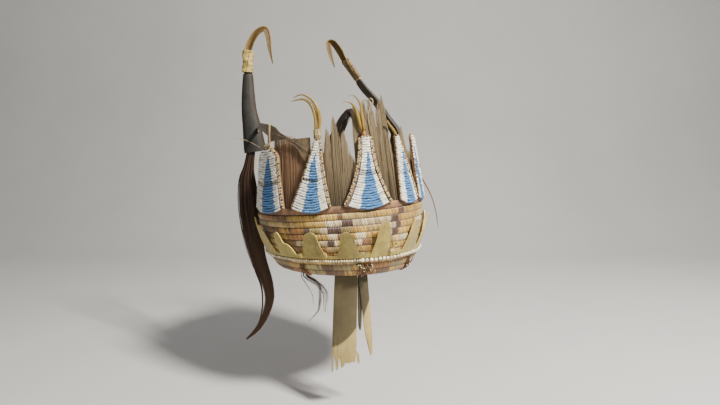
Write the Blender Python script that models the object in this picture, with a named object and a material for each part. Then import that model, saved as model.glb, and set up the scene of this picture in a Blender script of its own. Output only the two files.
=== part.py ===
"""A horned headdress: a bowl-shaped cap of wrapped straw rows that carries a hide band, beaded panels, hair,
horns and claws, with a leaf-edged hide collar, a string of beads and hide ties.

Units are metres. +Z is up and -Y is the front. The origin is the centre of the rim's opening, at the rim's lower edge.
Azimuths are in degrees from the front, positive toward +X.
"""

import math
from collections import namedtuple

import bmesh
import bpy
from mathutils import Vector

FIT_GAP = 0.0003
RING_SIDES = 32

# Straw cap: a bowl-shaped wall of wrapped rows, widest at its top
CAP_HEIGHT = 0.0785
CAP_RADIUS = 0.112
RIM_RADIUS = 0.090
CAP_WALL = 0.004
ROW_COUNT = 10
ROW_GROOVE = 0.0009
BOWL_CURVE = 0.7

# The whole headdress has settled to its right, more the higher up it is
LEAN = 0.072
LEAN_AZIMUTH = 74.0

# Hide crown: the band on the cap's top row, a ledge for the hair, and a low dome
BAND_RADIUS = 0.111
BAND_HEIGHT = 0.008
BAND_EASE = 0.0003
CROWN_WALL = 0.0022
DOME_RADIUS = 0.1034
DOME_RISE = 0.033

# Panels stand on the band and lean in, each with a beaded field on its face
PANEL_HEIGHT = 0.086
PANEL_HALF_WIDTH = 0.030
PANEL_LIFT = 0.0012
PANEL_ARC = 0.0075
PANEL_LEAN = 0.008
PANEL_WALL = 0.0020
BEADWORK_WALL = 0.0016
BEADWORK_MARGIN = 0.0032

# Hair between and behind the panels
HAIR_SETBACK = 0.0022
HAIR_WALL = 0.005
HAIR_TIP_WALL = 0.0008
BACK_HAIR_HEIGHT = 0.767 * PANEL_HEIGHT
BACK_LOCKS = 16

# Hide web over the left hair, with the strap that ties its peak to the first panel
WEB_WALL = 0.0013
WEB_STRAP_WIDTH = 0.0042

# Claws at the tops of two panels, and a broken one on a third
CLAW_LENGTH = 0.052
CLAW_RADIUS = 0.0023
CLAW_SPREAD = 0.0012
CLAW_COLLAR_WALL = 0.0008
CLAW_COLLAR_HOLE = 0.0006
STUMP_RADIUS = 0.0019

# Horns: split, so their section is a channel, with a wound binding that holds a channelled blade claw
HORN_RISE = 0.155
HORN_WIDTH = 0.031
HORN_DEPTH = 0.27
HORN_WALL = 0.0030
BLADE_WALL = 0.0016
BINDING_WALL = 0.0016
BINDING_TURNS = 5
# Half of the gap between horn and blade inside the binding, as a share of one row of the horn's table
JOIN_GAP = 0.012
# The sleeve's half axes over those of the channel that it holds, so that its oval clears the channel's rims
SLEEVE_WIDE = 1.25
SLEEVE_DEEP = 1.67

# Leaf collar round the lower cap, and the string of beads that it stands on
BEAD_RADIUS = 0.0022
BEAD_LINE = 0.0215
COLLAR_WALL = 0.0016
COLLAR_BAND = 0.004
LEAF_HEIGHT = 0.036
LEAF_HALF_WIDTH = 0.0165
LEAF_FLARE = 0.010
FLARE_POWER = 1.2
PLAIN_LEAVES = 9
PLAIN_FLARE = 0.35
# Widest angle in degrees that the collar spans in one straight step
WIDEST_STEP = 3.5

# Cord lashings over the rim
LASHING_WIDTH = 0.0030
LASHING_WALL = 0.0014
LASHING_RISE = 0.0120

# Hide ties that hang from inside the front of the rim
TIE_WALL = 0.0014
TIE_DROP = 0.134
TIE_TUCK = 0.010

# Long hair: the left tail, the plume that arches over the back, and a wisp at the right
TAIL_LENGTH = 0.286
TAIL_HALF_WIDTH = 0.0125
TAIL_WALL = 0.008
LOCK_WALL = 0.0018
PLUME_REACH = 0.130
PLUME_HALF_WIDTH = 0.014
PLUME_WALL = 0.008
WISP_LENGTH = 0.080
WISP_RADIUS = 0.0012
WISP_SETBACK = 0.0011

Panel = namedtuple("Panel", "number azimuth width top waist shift height shoulder")
# Widths and shifts are shares of PANEL_HALF_WIDTH, the height is a share of PANEL_HEIGHT.
PANELS = (
    Panel(1, -67.0, 1.10, 0.63, 0.00, 0.10, 0.94, 0.16),
    Panel(2, -31.6, 0.82, 0.16, 0.05, 0.45, 1.00, 0.03),
    Panel(3, 3.9, 1.00, 0.30, 0.17, 0.12, 1.00, 0.03),
    Panel(4, 36.7, 0.66, 0.22, 0.00, -0.36, 1.00, 0.05),
    Panel(5, 59.0, 0.66, 0.48, 0.00, -0.24, 1.02, 0.05),
)

Lock = namedtuple("Lock", "across height")
# Across is a share of the tuft's span, height a share of PANEL_HEIGHT above the band: tips and the dips between them.
TUFTS = {
    "tuft_1": (-62.0, -28.0, (
        Lock(0.00, 0.96), Lock(0.12, 0.99), Lock(0.26, 0.995), Lock(0.42, 0.985), Lock(0.57, 0.96),
        Lock(0.70, 0.90), Lock(0.84, 0.74), Lock(1.00, 0.52),
    )),
    "tuft_2": (-27.0, -3.0, (
        Lock(0.00, 0.72), Lock(0.25, 0.85), Lock(0.32, 1.06), Lock(0.42, 0.97), Lock(0.545, 1.22),
        Lock(0.69, 0.94), Lock(0.81, 1.00), Lock(1.00, 0.60),
    )),
    "tuft_3": (-1.2, 30.0, (
        Lock(0.00, 1.18), Lock(0.055, 1.36), Lock(0.14, 1.24), Lock(0.24, 1.32), Lock(0.322, 1.38),
        Lock(0.39, 1.30), Lock(0.48, 1.44), Lock(0.524, 1.25), Lock(0.587, 1.22), Lock(0.731, 1.38),
        Lock(0.865, 1.47), Lock(0.901, 0.95), Lock(1.00, 0.20),
    )),
    "tuft_4": (36.0, 57.0, (
        Lock(0.00, 0.70), Lock(0.40, 1.045), Lock(0.50, 0.84), Lock(0.64, 0.66), Lock(0.80, 0.42),
        Lock(1.00, 0.12),
    )),
}
BACK_HAIR = (64.0, 289.0)

WebRow = namedtuple("WebRow", "azimuth low high out")
# Heights are shares of PANEL_HEIGHT above the cap, out is a share of HORN_WIDTH.
WEB = (
    WebRow(-112.5, 1.25, 1.345, 0.20),
    WebRow(-97.0, 1.25, 1.352, 0.03),
    WebRow(-81.0, 1.236, 1.335, 0.00),
    WebRow(-69.0, 1.14, 1.294, 0.00),
    WebRow(-64.4, 1.03, 1.283, 0.00),
    WebRow(-58.0, 1.038, 1.224, 0.00),
    WebRow(-53.5, 1.043, 1.143, 0.00),
    WebRow(-48.5, 1.044, 1.087, 0.00),
    WebRow(-43.5, 0.995, 1.034, 0.00),
    WebRow(-39.5, 0.900, 1.033, 0.00),
    WebRow(-35.0, 0.740, 1.037, 0.00),
    WebRow(-30.0, 0.620, 1.037, 0.00),
)
WEB_PEAK = 4

Claw = namedtuple("Claw", "number depth girth rows")
ClawRow = namedtuple("ClawRow", "side up")
# Number is the panel's, depth is in steps of CLAW_SPREAD, and girth is a share of CLAW_RADIUS. Rows are shares of
# CLAW_LENGTH, sideways and up from the panel's top.
CLAWS = {
    "claw_2_right": Claw(2, 0.4, 0.92, (
        ClawRow(0.022, 0.008), ClawRow(0.042, 0.17), ClawRow(0.076, 0.343), ClawRow(0.084, 0.486),
        ClawRow(0.054, 0.657), ClawRow(-0.010, 0.80), ClawRow(-0.129, 0.925), ClawRow(-0.298, 1.00),
        ClawRow(-0.487, 0.943),
    )),
    "claw_2_left": Claw(2, -0.4, 0.92, (
        ClawRow(-0.022, 0.008), ClawRow(-0.030, 0.17), ClawRow(-0.016, 0.343), ClawRow(-0.012, 0.50),
        ClawRow(-0.062, 0.70), ClawRow(-0.146, 0.829), ClawRow(-0.265, 0.898), ClawRow(-0.419, 0.895),
        ClawRow(-0.535, 0.871),
    )),
    "claw_3_right": Claw(3, 1, 0.62, (
        ClawRow(-0.008, 0.008), ClawRow(-0.016, 0.12), ClawRow(-0.028, 0.22), ClawRow(-0.038, 0.36),
        ClawRow(-0.048, 0.52), ClawRow(-0.056, 0.68), ClawRow(-0.104, 0.79), ClawRow(-0.165, 0.868),
        ClawRow(-0.250, 0.912), ClawRow(-0.354, 0.872),
    )),
    "claw_3_left": Claw(3, -1, 0.85, (
        ClawRow(-0.022, 0.008), ClawRow(-0.046, 0.12), ClawRow(-0.076, 0.22), ClawRow(-0.104, 0.36),
        ClawRow(-0.138, 0.52), ClawRow(-0.184, 0.655), ClawRow(-0.253, 0.731), ClawRow(-0.352, 0.772),
        ClawRow(-0.471, 0.770),
    )),
}
STUMP = (ClawRow(0.0, 0.02), ClawRow(-0.09, 0.13), ClawRow(-0.17, 0.20), ClawRow(-0.28, 0.325))
GirthRow = namedtuple("GirthRow", "share girth")
# A claw's girth along its length, as shares of CLAW_RADIUS: slim where it is held, full at its middle, fine at its tip
CLAW_GIRTH = (
    GirthRow(0.00, 0.42), GirthRow(0.10, 0.60), GirthRow(0.25, 0.88), GirthRow(0.40, 1.00), GirthRow(0.55, 0.88),
    GirthRow(0.70, 0.64), GirthRow(0.85, 0.40), GirthRow(1.00, 0.15),
)
ClawCollar = namedtuple("ClawCollar", "number height flare")
# The ring that holds each pair of claws: its height as a share of CLAW_LENGTH, and how much its foot widens
CLAW_COLLARS = (ClawCollar(2, 0.22, 1.5), ClawCollar(3, 0.10, 1.25))

HornRow = namedtuple("HornRow", "up inward forward width turn")
# Up, inward and forward are shares of HORN_RISE from the base, width is a share of HORN_WIDTH, and turn is the angle
# in degrees from the inside of the blade's hook to the side that the channel opens on.
LEFT_HORN = (
    HornRow(0.000, 0.018, 0.000, 1.00, 90),
    HornRow(0.174, 0.010, 0.000, 0.84, 90),
    HornRow(0.310, 0.000, 0.000, 0.70, 90),
    HornRow(0.477, 0.006, 0.000, 0.58, 90),
    HornRow(0.630, 0.019, -0.002, 0.45, 90),
    HornRow(0.655, 0.021, -0.002, 0.32, 90),
    HornRow(0.748, 0.032, -0.004, 0.30, 90),
    HornRow(0.845, 0.045, -0.006, 0.31, 90),
    HornRow(0.923, 0.083, -0.011, 0.38, 62),
    HornRow(0.994, 0.141, -0.018, 0.36, 56),
    HornRow(1.016, 0.205, -0.027, 0.30, 52),
    HornRow(0.942, 0.226, -0.029, 0.25, 50),
    HornRow(0.839, 0.231, -0.029, 0.17, 50),
    HornRow(0.716, 0.248, -0.031, 0.04, 50),
)
RIGHT_HORN = (
    HornRow(-0.110, -0.034, 0.000, 1.04, 24),
    HornRow(0.000, -0.020, 0.000, 1.00, 20),
    HornRow(0.116, -0.025, 0.010, 0.90, 20),
    HornRow(0.252, 0.046, -0.025, 0.76, 20),
    HornRow(0.342, 0.099, -0.039, 0.66, 20),
    HornRow(0.432, 0.161, -0.052, 0.58, 22),
    HornRow(0.529, 0.244, -0.080, 0.52, 26),
    HornRow(0.600, 0.297, -0.091, 0.45, 30),
    HornRow(0.620, 0.312, -0.094, 0.32, 32),
    HornRow(0.703, 0.373, -0.101, 0.30, 36),
    HornRow(0.794, 0.435, -0.113, 0.31, 44),
    HornRow(0.871, 0.479, -0.115, 0.34, 50),
    HornRow(0.942, 0.536, -0.124, 0.30, 52),
    HornRow(0.929, 0.594, -0.124, 0.27, 52),
    HornRow(0.813, 0.600, -0.092, 0.20, 50),
    HornRow(0.710, 0.592, -0.056, 0.04, 50),
)
Horn = namedtuple("Horn", "side azimuth out up rows neck join cuff hook blade_flip")
# The base lies out from the axis by a share of BAND_RADIUS and up from the band by one of PANEL_HEIGHT. Neck, join and
# cuff number the rows where the binding starts, where horn and blade meet inside it, and where it ends. Hook is +1
# when the blade hooks toward +X. Blade_flip turns the blade's channel.
HORNS = (
    Horn("left", -113.2, 1.0712, 0.9442, LEFT_HORN, 5, 6, 7, 1, -1),
    Horn("right", 109.7, 0.9423, 0.8279, RIGHT_HORN, 8, 9, 10, -1, 1),
)
# Direction across which both blades hook, as an azimuth
HOOK_AZIMUTH = 164.0

Leaf = namedtuple("Leaf", "azimuth height width flare")
# Shares of LEAF_HEIGHT, LEAF_HALF_WIDTH and LEAF_FLARE. The leaves that follow round the back are plain.
LEAVES = (
    Leaf(-95.0, 1.22, 0.98, 0.25),
    Leaf(-75.0, 1.02, 1.00, 0.60),
    Leaf(-54.5, 0.84, 1.00, 0.60),
    Leaf(-33.0, 0.86, 0.92, 1.00),
    Leaf(-10.0, 0.83, 0.86, 1.10),
    Leaf(11.0, 1.07, 0.78, 1.00),
    Leaf(38.0, 0.94, 0.95, 0.60),
    Leaf(57.5, 1.02, 0.90, 0.90),
)
LobeRow = namedtuple("LobeRow", "offset rise")
# The third leaf has a round head at its left and a low shoulder at its right: shares of its half width and height.
LOBED_LEAF = 2
LOBES = (
    LobeRow(-1.00, 0.00), LobeRow(-0.78, 0.62), LobeRow(-0.66, 0.90), LobeRow(-0.42, 1.00), LobeRow(-0.18, 0.86),
    LobeRow(-0.06, 0.54), LobeRow(0.28, 0.47), LobeRow(0.62, 0.36), LobeRow(0.86, 0.18), LobeRow(1.00, 0.00),
)

LASHINGS = (-44.0, -1.0, 42.0)

TieRow = namedtuple("TieRow", "drop left right inset")
# Drop is a share of TIE_DROP below the tuck, left and right are azimuths, inset is a share of TIE_WALL.
TIES = {
    "tie_wide": (
        TieRow(0.00, -22.5, -4.0, 0.0),
        TieRow(0.12, -22.8, -3.4, 0.0),
        TieRow(0.35, -24.0, -3.6, 0.6),
        TieRow(0.62, -25.0, -4.0, 1.0),
        TieRow(1.00, -26.0, -4.6, 0.6),
    ),
    "tie_narrow": (
        TieRow(0.00, -1.8, 5.0, 1.3),
        TieRow(0.12, -1.8, 6.0, 1.3),
        TieRow(0.40, 0.6, 8.0, 0.2),
        TieRow(0.65, 2.8, 9.4, -0.6),
        TieRow(0.86, 6.6, 9.8, -1.0),
    ),
    "tie_scrap": (
        TieRow(0.00, -2.6, 1.6, 2.6),
        TieRow(0.30, -2.6, 1.4, 2.6),
        TieRow(0.62, -2.2, 0.8, 2.8),
    ),
}
# Ragged end of the wide tie: how far each of its tongues falls short, as shares of TIE_DROP
WIDE_TIE_END = (0.00, 0.10, 0.005, 0.09, 0.02, 0.09, 0.075, 0.08, 0.14, 0.16, 0.13)

HairRow = namedtuple("HairRow", "side back up width")
# Shares of TAIL_LENGTH for the first three columns and of TAIL_HALF_WIDTH for the last.
LEFT_TAIL = (
    HairRow(0.000, 0.00, 0.000, 0.35),
    HairRow(-0.024, 0.00, -0.098, 0.50),
    HairRow(-0.038, 0.00, -0.161, 0.80),
    HairRow(-0.042, 0.00, -0.255, 1.00),
    HairRow(-0.042, 0.00, -0.360, 1.02),
    HairRow(-0.038, 0.00, -0.479, 0.98),
    HairRow(-0.028, 0.00, -0.594, 0.90),
    HairRow(-0.005, 0.00, -0.696, 0.80),
    HairRow(0.012, 0.00, -0.787, 0.68),
    HairRow(0.002, 0.00, -0.872, 0.54),
    HairRow(-0.038, 0.00, -0.948, 0.40),
    HairRow(-0.084, 0.00, -1.000, 0.24),
)
# Shares of PLUME_REACH, from the middle of the opening, and of PLUME_HALF_WIDTH.
PLUME = (
    HairRow(0.231, -0.101, 0.000, 0.30),
    HairRow(0.256, -0.105, 1.250, 0.50),
    HairRow(0.247, -0.059, 1.490, 0.55),
    HairRow(0.228, 0.042, 1.585, 0.58),
    HairRow(0.226, 0.202, 1.577, 0.62),
    HairRow(0.227, 0.408, 1.523, 0.68),
    HairRow(0.215, 0.624, 1.415, 0.76),
    HairRow(0.180, 0.815, 1.254, 0.90),
    HairRow(0.115, 0.959, 0.923, 1.05),
    HairRow(0.035, 1.033, 0.508, 1.15),
    HairRow(-0.068, 1.033, 0.077, 1.20),
    HairRow(-0.184, 0.982, -0.231, 1.10),
    HairRow(-0.150, 0.858, -0.577, 0.95),
    HairRow(-0.170, 0.788, -0.877, 0.55),
)


def add_material(name, colour, roughness, metallic=0.0):
    material = bpy.data.materials.new(name)
    material.use_nodes = True
    shader = material.node_tree.nodes["Principled BSDF"]
    shader.inputs["Base Color"].default_value = (*colour, 1)
    shader.inputs["Roughness"].default_value = roughness
    shader.inputs["Metallic"].default_value = metallic
    return material


def settle(point):
    """The point after the lean: moved back from LEAN_AZIMUTH as it rises, with the far side lifted."""
    toward = math.radians(LEAN_AZIMUTH)
    direction = Vector((math.sin(toward), -math.cos(toward), 0))
    offset = point.dot(direction)
    share = min(max(point.z / CAP_HEIGHT, 0), 1)
    return point + Vector((0, 0, offset * LEAN * share)) - direction * LEAN * max(point.z, 0)


def ring_point(azimuth, radius, height):
    angle = math.radians(azimuth)
    return Vector((radius * math.sin(angle), -radius * math.cos(angle), height))


def outward(azimuth):
    return ring_point(azimuth, 1, 0)


def finish(mesh_data, name, material, smooth_angle=40):
    """Turn the bmesh into a named object whose faces point out, with the lean applied to its points."""
    for vertex in mesh_data.verts:
        vertex.co = settle(vertex.co)
    bmesh.ops.recalc_face_normals(mesh_data, faces=mesh_data.faces)
    mesh = bpy.data.meshes.new(name)
    mesh_data.to_mesh(mesh)
    mesh_data.free()
    mesh.shade_smooth()
    mesh.set_sharp_from_angle(angle=math.radians(smooth_angle))
    mesh.materials.append(material)
    piece = bpy.data.objects.new(name, mesh)
    bpy.context.scene.collection.objects.link(piece)
    return piece


def turned(name, outline, material):
    """A closed outline of (radius, height) turned round the axis. A point on the axis becomes a pole."""
    shape = bmesh.new()
    poles = {index: shape.verts.new((0, 0, height)) for index, (radius, height) in enumerate(outline) if radius == 0}
    rings = []
    for side in range(RING_SIDES):
        azimuth = 360 * side / RING_SIDES
        rings.append([
            poles[index] if index in poles else shape.verts.new(ring_point(azimuth, radius, height))
            for index, (radius, height) in enumerate(outline)
        ])
    for side in range(RING_SIDES):
        ring = rings[side]
        following = rings[(side + 1) % RING_SIDES]
        for index in range(len(outline)):
            after = (index + 1) % len(outline)
            if index in poles and after in poles:
                continue
            corners = [ring[index], ring[after], following[after], following[index]]
            shape.faces.new(list(dict.fromkeys(corners)))
    return finish(shape, name, material)


def sheet(name, across, along, place, material, closed=False):
    """A closed solid with a front and a back: place(u, v, face) gives each corner, face being 1 in front and -1
    behind. across and along list the shares u and v. A closed sheet runs all the way round."""
    shape = bmesh.new()
    grid = {}
    for face in (1, -1):
        for column, share in enumerate(across):
            for row, height in enumerate(along):
                grid[face, column, row] = shape.verts.new(place(share, height, face))
    columns = len(across)
    last_row = len(along) - 1
    for column in range(columns if closed else columns - 1):
        after = (column + 1) % columns
        for row in range(last_row):
            for face in (1, -1):
                shape.faces.new((grid[face, column, row], grid[face, after, row],
                                 grid[face, after, row + 1], grid[face, column, row + 1]))
        for row in (0, last_row):
            shape.faces.new((grid[1, column, row], grid[1, after, row], grid[-1, after, row], grid[-1, column, row]))
    if not closed:
        for column in (0, columns - 1):
            for row in range(last_row):
                shape.faces.new((grid[1, column, row], grid[1, column, row + 1],
                                 grid[-1, column, row + 1], grid[-1, column, row]))
    return finish(shape, name, material)


def loft(name, rings, material, closed=False):
    """A solid through rings with equal numbers of points, with flat ends unless it is closed on itself."""
    shape = bmesh.new()
    made = [[shape.verts.new(point) for point in ring] for ring in rings]
    count = len(rings[0])
    for index in range(len(made) if closed else len(made) - 1):
        here = made[index]
        after = made[(index + 1) % len(made)]
        for corner in range(count):
            following = (corner + 1) % count
            shape.faces.new((here[corner], here[following], after[following], after[corner]))
    if not closed:
        shape.faces.new(made[0])
        shape.faces.new(made[-1])
    return finish(shape, name, material)


def even(count):
    return [index / count for index in range(count + 1)]


def smooth_row(rows, place):
    """The row at a fractional place in a table, on a Catmull-Rom curve through all of its columns."""
    last = len(rows) - 1
    index = min(int(place), last - 1)
    share = place - index
    corners = [rows[min(max(index + step, 0), last)] for step in (-1, 0, 1, 2)]
    values = []
    for a, b, c, d in zip(*corners):
        values.append(0.5 * (2 * b + (c - a) * share + (2 * a - 5 * b + 4 * c - d) * share ** 2
                             + (3 * b - a - 3 * c + d) * share ** 3))
    return type(rows[0])(*values)


def interpolate(rows, value, column=0):
    """The row where the given column has this value, on straight lines between rows."""
    for before, after in zip(rows, rows[1:]):
        if value <= after[column]:
            break
    share = (value - before[column]) / (after[column] - before[column])
    return type(before)(*(a + (b - a) * share for a, b in zip(before, after)))


def bowl_radius(height):
    share = min(max(height / CAP_HEIGHT, 0), 1)
    return RIM_RADIUS + (CAP_RADIUS - RIM_RADIUS) * math.sin(math.pi / 2 * share ** BOWL_CURVE)


def build_straw_cap(material):
    outline = []
    for row in range(ROW_COUNT):
        low = CAP_HEIGHT * row / ROW_COUNT
        high = CAP_HEIGHT * (row + 1) / ROW_COUNT
        outline.append((bowl_radius(low) - ROW_GROOVE, low))
        outline.append((bowl_radius((low + high) / 2), (low + high) / 2))
    outline.append((CAP_RADIUS - ROW_GROOVE, CAP_HEIGHT))
    inner = [(bowl_radius(share * CAP_HEIGHT) - CAP_WALL, share * CAP_HEIGHT) for share in (1, 0.6, 0.3, 0)]
    return turned("straw_cap", outline + inner, material)


def build_hide_crown(material):
    foot = CAP_HEIGHT + FIT_GAP
    ledge = foot + BAND_HEIGHT
    dome = [(share, math.sqrt(1 - share ** 2)) for share in (0.97, 0.85, 0.6, 0.3)]
    band = BAND_RADIUS - BAND_EASE
    outer = [(band, foot), (band, ledge), (DOME_RADIUS, ledge)]
    outer += [(DOME_RADIUS * share, ledge + DOME_RISE * rise) for share, rise in dome]
    outer.append((0, ledge + DOME_RISE))
    inside = DOME_RADIUS - CROWN_WALL
    inner = [(0, ledge + DOME_RISE - CROWN_WALL)]
    inner += [(inside * share, ledge + (DOME_RISE - CROWN_WALL) * rise) for share, rise in reversed(dome)]
    inner += [(inside, ledge - CROWN_WALL), (band - CROWN_WALL, ledge - CROWN_WALL), (band - CROWN_WALL, foot)]
    return turned("hide_crown", outer + inner, material)


def band_top():
    return CAP_HEIGHT + FIT_GAP + BAND_HEIGHT


def panel_radius(height):
    """Inner radius of the panels: against the band, then leaning in above it."""
    return BAND_RADIUS + FIT_GAP - PANEL_LEAN * max(height - band_top(), 0) / PANEL_HEIGHT


def panel_half_width(panel, share):
    straight = panel.width + (panel.top * panel.width - panel.width) * share
    curved = straight - panel.waist * 4 * share * (1 - share)
    rounding = max(share - (1 - panel.shoulder), 0) / panel.shoulder
    return PANEL_HALF_WIDTH * curved * math.sqrt(max(1 - rounding ** 2, 0.3))


def panel_point(panel, across, share, out, margin):
    """A point on the panel: across runs from -1 to 1 and share up from the foot, margin insets the outline."""
    foot = CAP_HEIGHT + PANEL_LIFT + margin * 0.5
    low = foot + PANEL_ARC * across ** 2
    high = CAP_HEIGHT + PANEL_LIFT + PANEL_HEIGHT * panel.height - margin
    height = low + (high - low) * share
    full = panel_half_width(panel, share)
    half = full - min(margin, full * 0.45)
    sideways = across * half + panel.shift * PANEL_HALF_WIDTH * share
    azimuth = panel.azimuth + math.degrees(sideways / BAND_RADIUS)
    return ring_point(azimuth, panel_radius(height) + out, height)


def build_panel(panel, hide, beads):
    across = [2 * share - 1 for share in even(6)]
    along = (0, 0.18, 0.40, 0.62, 0.84, 1)

    def hide_point(u, v, face):
        return panel_point(panel, u, v, PANEL_WALL if face > 0 else 0, 0)

    def bead_point(u, v, face):
        back = PANEL_WALL + FIT_GAP
        return panel_point(panel, u, v, back + (BEADWORK_WALL if face > 0 else 0), BEADWORK_MARGIN)

    sheet(f"panel_{panel.number}", across, along, hide_point, hide)
    sheet(f"beadwork_{panel.number}", across, along, bead_point, beads)


def hair_radius(height):
    return panel_radius(height) - HAIR_SETBACK


def build_tuft(name, start, end, locks, material):
    """A curtain of locks on the band's ledge, thick at each tip's column and thin at each dip's."""
    across = []
    for before, after in zip(locks, locks[1:]):
        across += [before.across, (before.across + after.across) / 2]
    across.append(locks[-1].across)
    foot = band_top() + FIT_GAP

    def hair_point(u, v, face):
        lock = interpolate(locks, u)
        height = foot + PANEL_HEIGHT * lock.height * v
        full = HAIR_WALL * (1 if across.index(u) % 2 == 0 else 0.75)
        wall = full + (HAIR_TIP_WALL - full) * v ** 2
        middle = hair_radius(height) - HAIR_WALL / 2
        return ring_point(start + (end - start) * u, middle + face * wall / 2, height)

    return sheet(name, across, (0, 0.4, 0.75, 1), hair_point, material)


def build_back_tuft(material):
    locks = []
    share_height = BACK_HAIR_HEIGHT / PANEL_HEIGHT
    for index in range(2 * BACK_LOCKS + 1):
        swell = 0.94 + 0.06 * math.sin(index * 1.9)
        dip = 0.90 if index % 2 == 0 else 1
        locks.append(Lock(index / (2 * BACK_LOCKS), share_height * swell * dip))
    start, end = BACK_HAIR
    foot = band_top() + FIT_GAP

    def hair_point(u, v, face):
        index = round(u * 2 * BACK_LOCKS)
        height = foot + PANEL_HEIGHT * locks[index].height * v
        full = HAIR_WALL * (1 if index % 2 else 0.8)
        wall = full + (HAIR_TIP_WALL - full) * v ** 2
        middle = hair_radius(height) - HAIR_WALL / 2
        return ring_point(start + (end - start) * u, middle + face * wall / 2, height)

    return sheet("tuft_back", even(2 * BACK_LOCKS), (0, 0.6, 1), hair_point, material)


def web_point(azimuth, share, face):
    row = interpolate(WEB, azimuth)
    height = CAP_HEIGHT + PANEL_LIFT + PANEL_HEIGHT * (row.low + (row.high - row.low) * share)
    middle = (panel_radius(height) + hair_radius(height)) / 2
    return ring_point(azimuth, middle + row.out * HORN_WIDTH + face * WEB_WALL / 2, height)


def build_web(material):
    return sheet("hide_web", [row.azimuth for row in WEB], (0, 0.5, 1), web_point, material)


def build_web_strap(material):
    """The strap lies on the web's face from its peak down to just above the first panel."""
    azimuth = WEB[WEB_PEAK].azimuth
    turn = math.degrees(WEB_STRAP_WIDTH / BAND_RADIUS)
    top = CAP_HEIGHT + PANEL_LIFT + PANEL_HEIGHT * WEB[WEB_PEAK].high
    first = PANELS[0]
    low = CAP_HEIGHT + PANEL_LIFT + PANEL_HEIGHT * first.height + FIT_GAP

    def strap_point(u, v, face):
        height = top + (low - top) * v
        middle = (panel_radius(height) + hair_radius(height)) / 2
        radius = middle + WEB_WALL / 2 + FIT_GAP + (WEB_WALL if face > 0 else 0)
        return ring_point(azimuth + turn * (u - 0.5), radius, height)

    return sheet("web_strap", even(1), even(4), strap_point, material)


def panel_top(number):
    """Azimuth, radius and height of the middle of a panel's top edge."""
    panel = PANELS[number - 1]
    height = CAP_HEIGHT + PANEL_LIFT + PANEL_HEIGHT * panel.height
    azimuth = panel.azimuth + math.degrees(panel.shift * PANEL_HALF_WIDTH / BAND_RADIUS)
    return azimuth, panel_radius(height) + PANEL_WALL / 2, height


def tube_rings(points, radii, sides, reference):
    """Rings of a round tube through the points. reference is a direction that the tube never runs along."""
    rings = []
    for index, point in enumerate(points):
        before = points[max(index - 1, 0)]
        after = points[min(index + 1, len(points) - 1)]
        along = (after - before).normalized()
        first = along.cross(reference).normalized()
        second = along.cross(first)
        rings.append([
            point + radii[index] * (first * math.cos(2 * math.pi * side / sides)
                                    + second * math.sin(2 * math.pi * side / sides))
            for side in range(sides)
        ])
    return rings


def claw_points(number, depth, rows, count):
    azimuth, radius, height = panel_top(number)
    base = ring_point(azimuth, radius + depth * CLAW_SPREAD, height + FIT_GAP)
    across = outward(azimuth + 90)
    points = []
    for share in even(count):
        row = smooth_row(rows, share * (len(rows) - 1))
        points.append(base + CLAW_LENGTH * (across * row.side + Vector((0, 0, row.up))))
    return points, outward(azimuth)


def claw_thickness(claw, share):
    return CLAW_RADIUS * claw.girth * interpolate(CLAW_GIRTH, share).girth


def claw_reach(claw, height):
    """Sideways place and thickness of a claw at a height, given as a share of CLAW_LENGTH."""
    for share in even(100):
        row = smooth_row(claw.rows, share * (len(claw.rows) - 1))
        if row.up >= height:
            break
    return CLAW_LENGTH * row.side, claw_thickness(claw, share)


def build_claw_collar(collar, material):
    """A ring that follows both claws of a pair upward and widens at its foot."""
    azimuth, radius, height = panel_top(collar.number)
    across = outward(azimuth + 90)
    out = outward(azimuth)
    sides = 10
    spread = 1 / math.cos(math.pi / sides)
    pair = [claw for claw in CLAWS.values() if claw.number == collar.number]
    ends = []
    for up, flare in ((0, collar.flare), (collar.height, 1)):
        reaches = [claw_reach(claw, up) for claw in pair]
        left = min(side - thick for side, thick in reaches)
        right = max(side + thick for side, thick in reaches)
        deep = CLAW_SPREAD * max(abs(claw.depth) for claw in pair) + max(thick for _, thick in reaches)
        centre = ring_point(azimuth, radius, height + FIT_GAP + CLAW_LENGTH * up) + across * (left + right) / 2
        ends.append((centre, ((right - left) / 2 + CLAW_COLLAR_HOLE) * flare, (deep + CLAW_COLLAR_HOLE) * flare))
    foot, top = ends
    rings = []
    for index in range(sides):
        turn = 2 * math.pi * index / sides
        ring = []
        for (centre, wide, deep), wall in ((foot, 0), (top, 0), (top, CLAW_COLLAR_WALL), (foot, CLAW_COLLAR_WALL)):
            ring.append(centre + across * math.cos(turn) * (wide + wall) * spread
                        + out * math.sin(turn) * (deep + wall) * spread)
        rings.append(ring)
    loft(f"claw_collar_{collar.number}", rings, material, closed=True)


def build_claws(horn_material, collar_material):
    count = 10
    for name, claw in CLAWS.items():
        points, out = claw_points(claw.number, claw.depth, claw.rows, count)
        radii = [claw_thickness(claw, share) for share in even(count)]
        loft(name, tube_rings(points, radii, 7, out), horn_material)
    for collar in CLAW_COLLARS:
        build_claw_collar(collar, collar_material)
    points, out = claw_points(4, 0, STUMP, 5)
    radii = [STUMP_RADIUS * (1.15 if index == 3 else 1) * (1 - 0.1 * index) for index in range(6)]
    loft("claw_stump_4", tube_rings(points, radii, 6, out), horn_material)


def horn_base(horn):
    return ring_point(horn.azimuth, BAND_RADIUS * horn.out, band_top() + PANEL_HEIGHT * horn.up)


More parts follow.
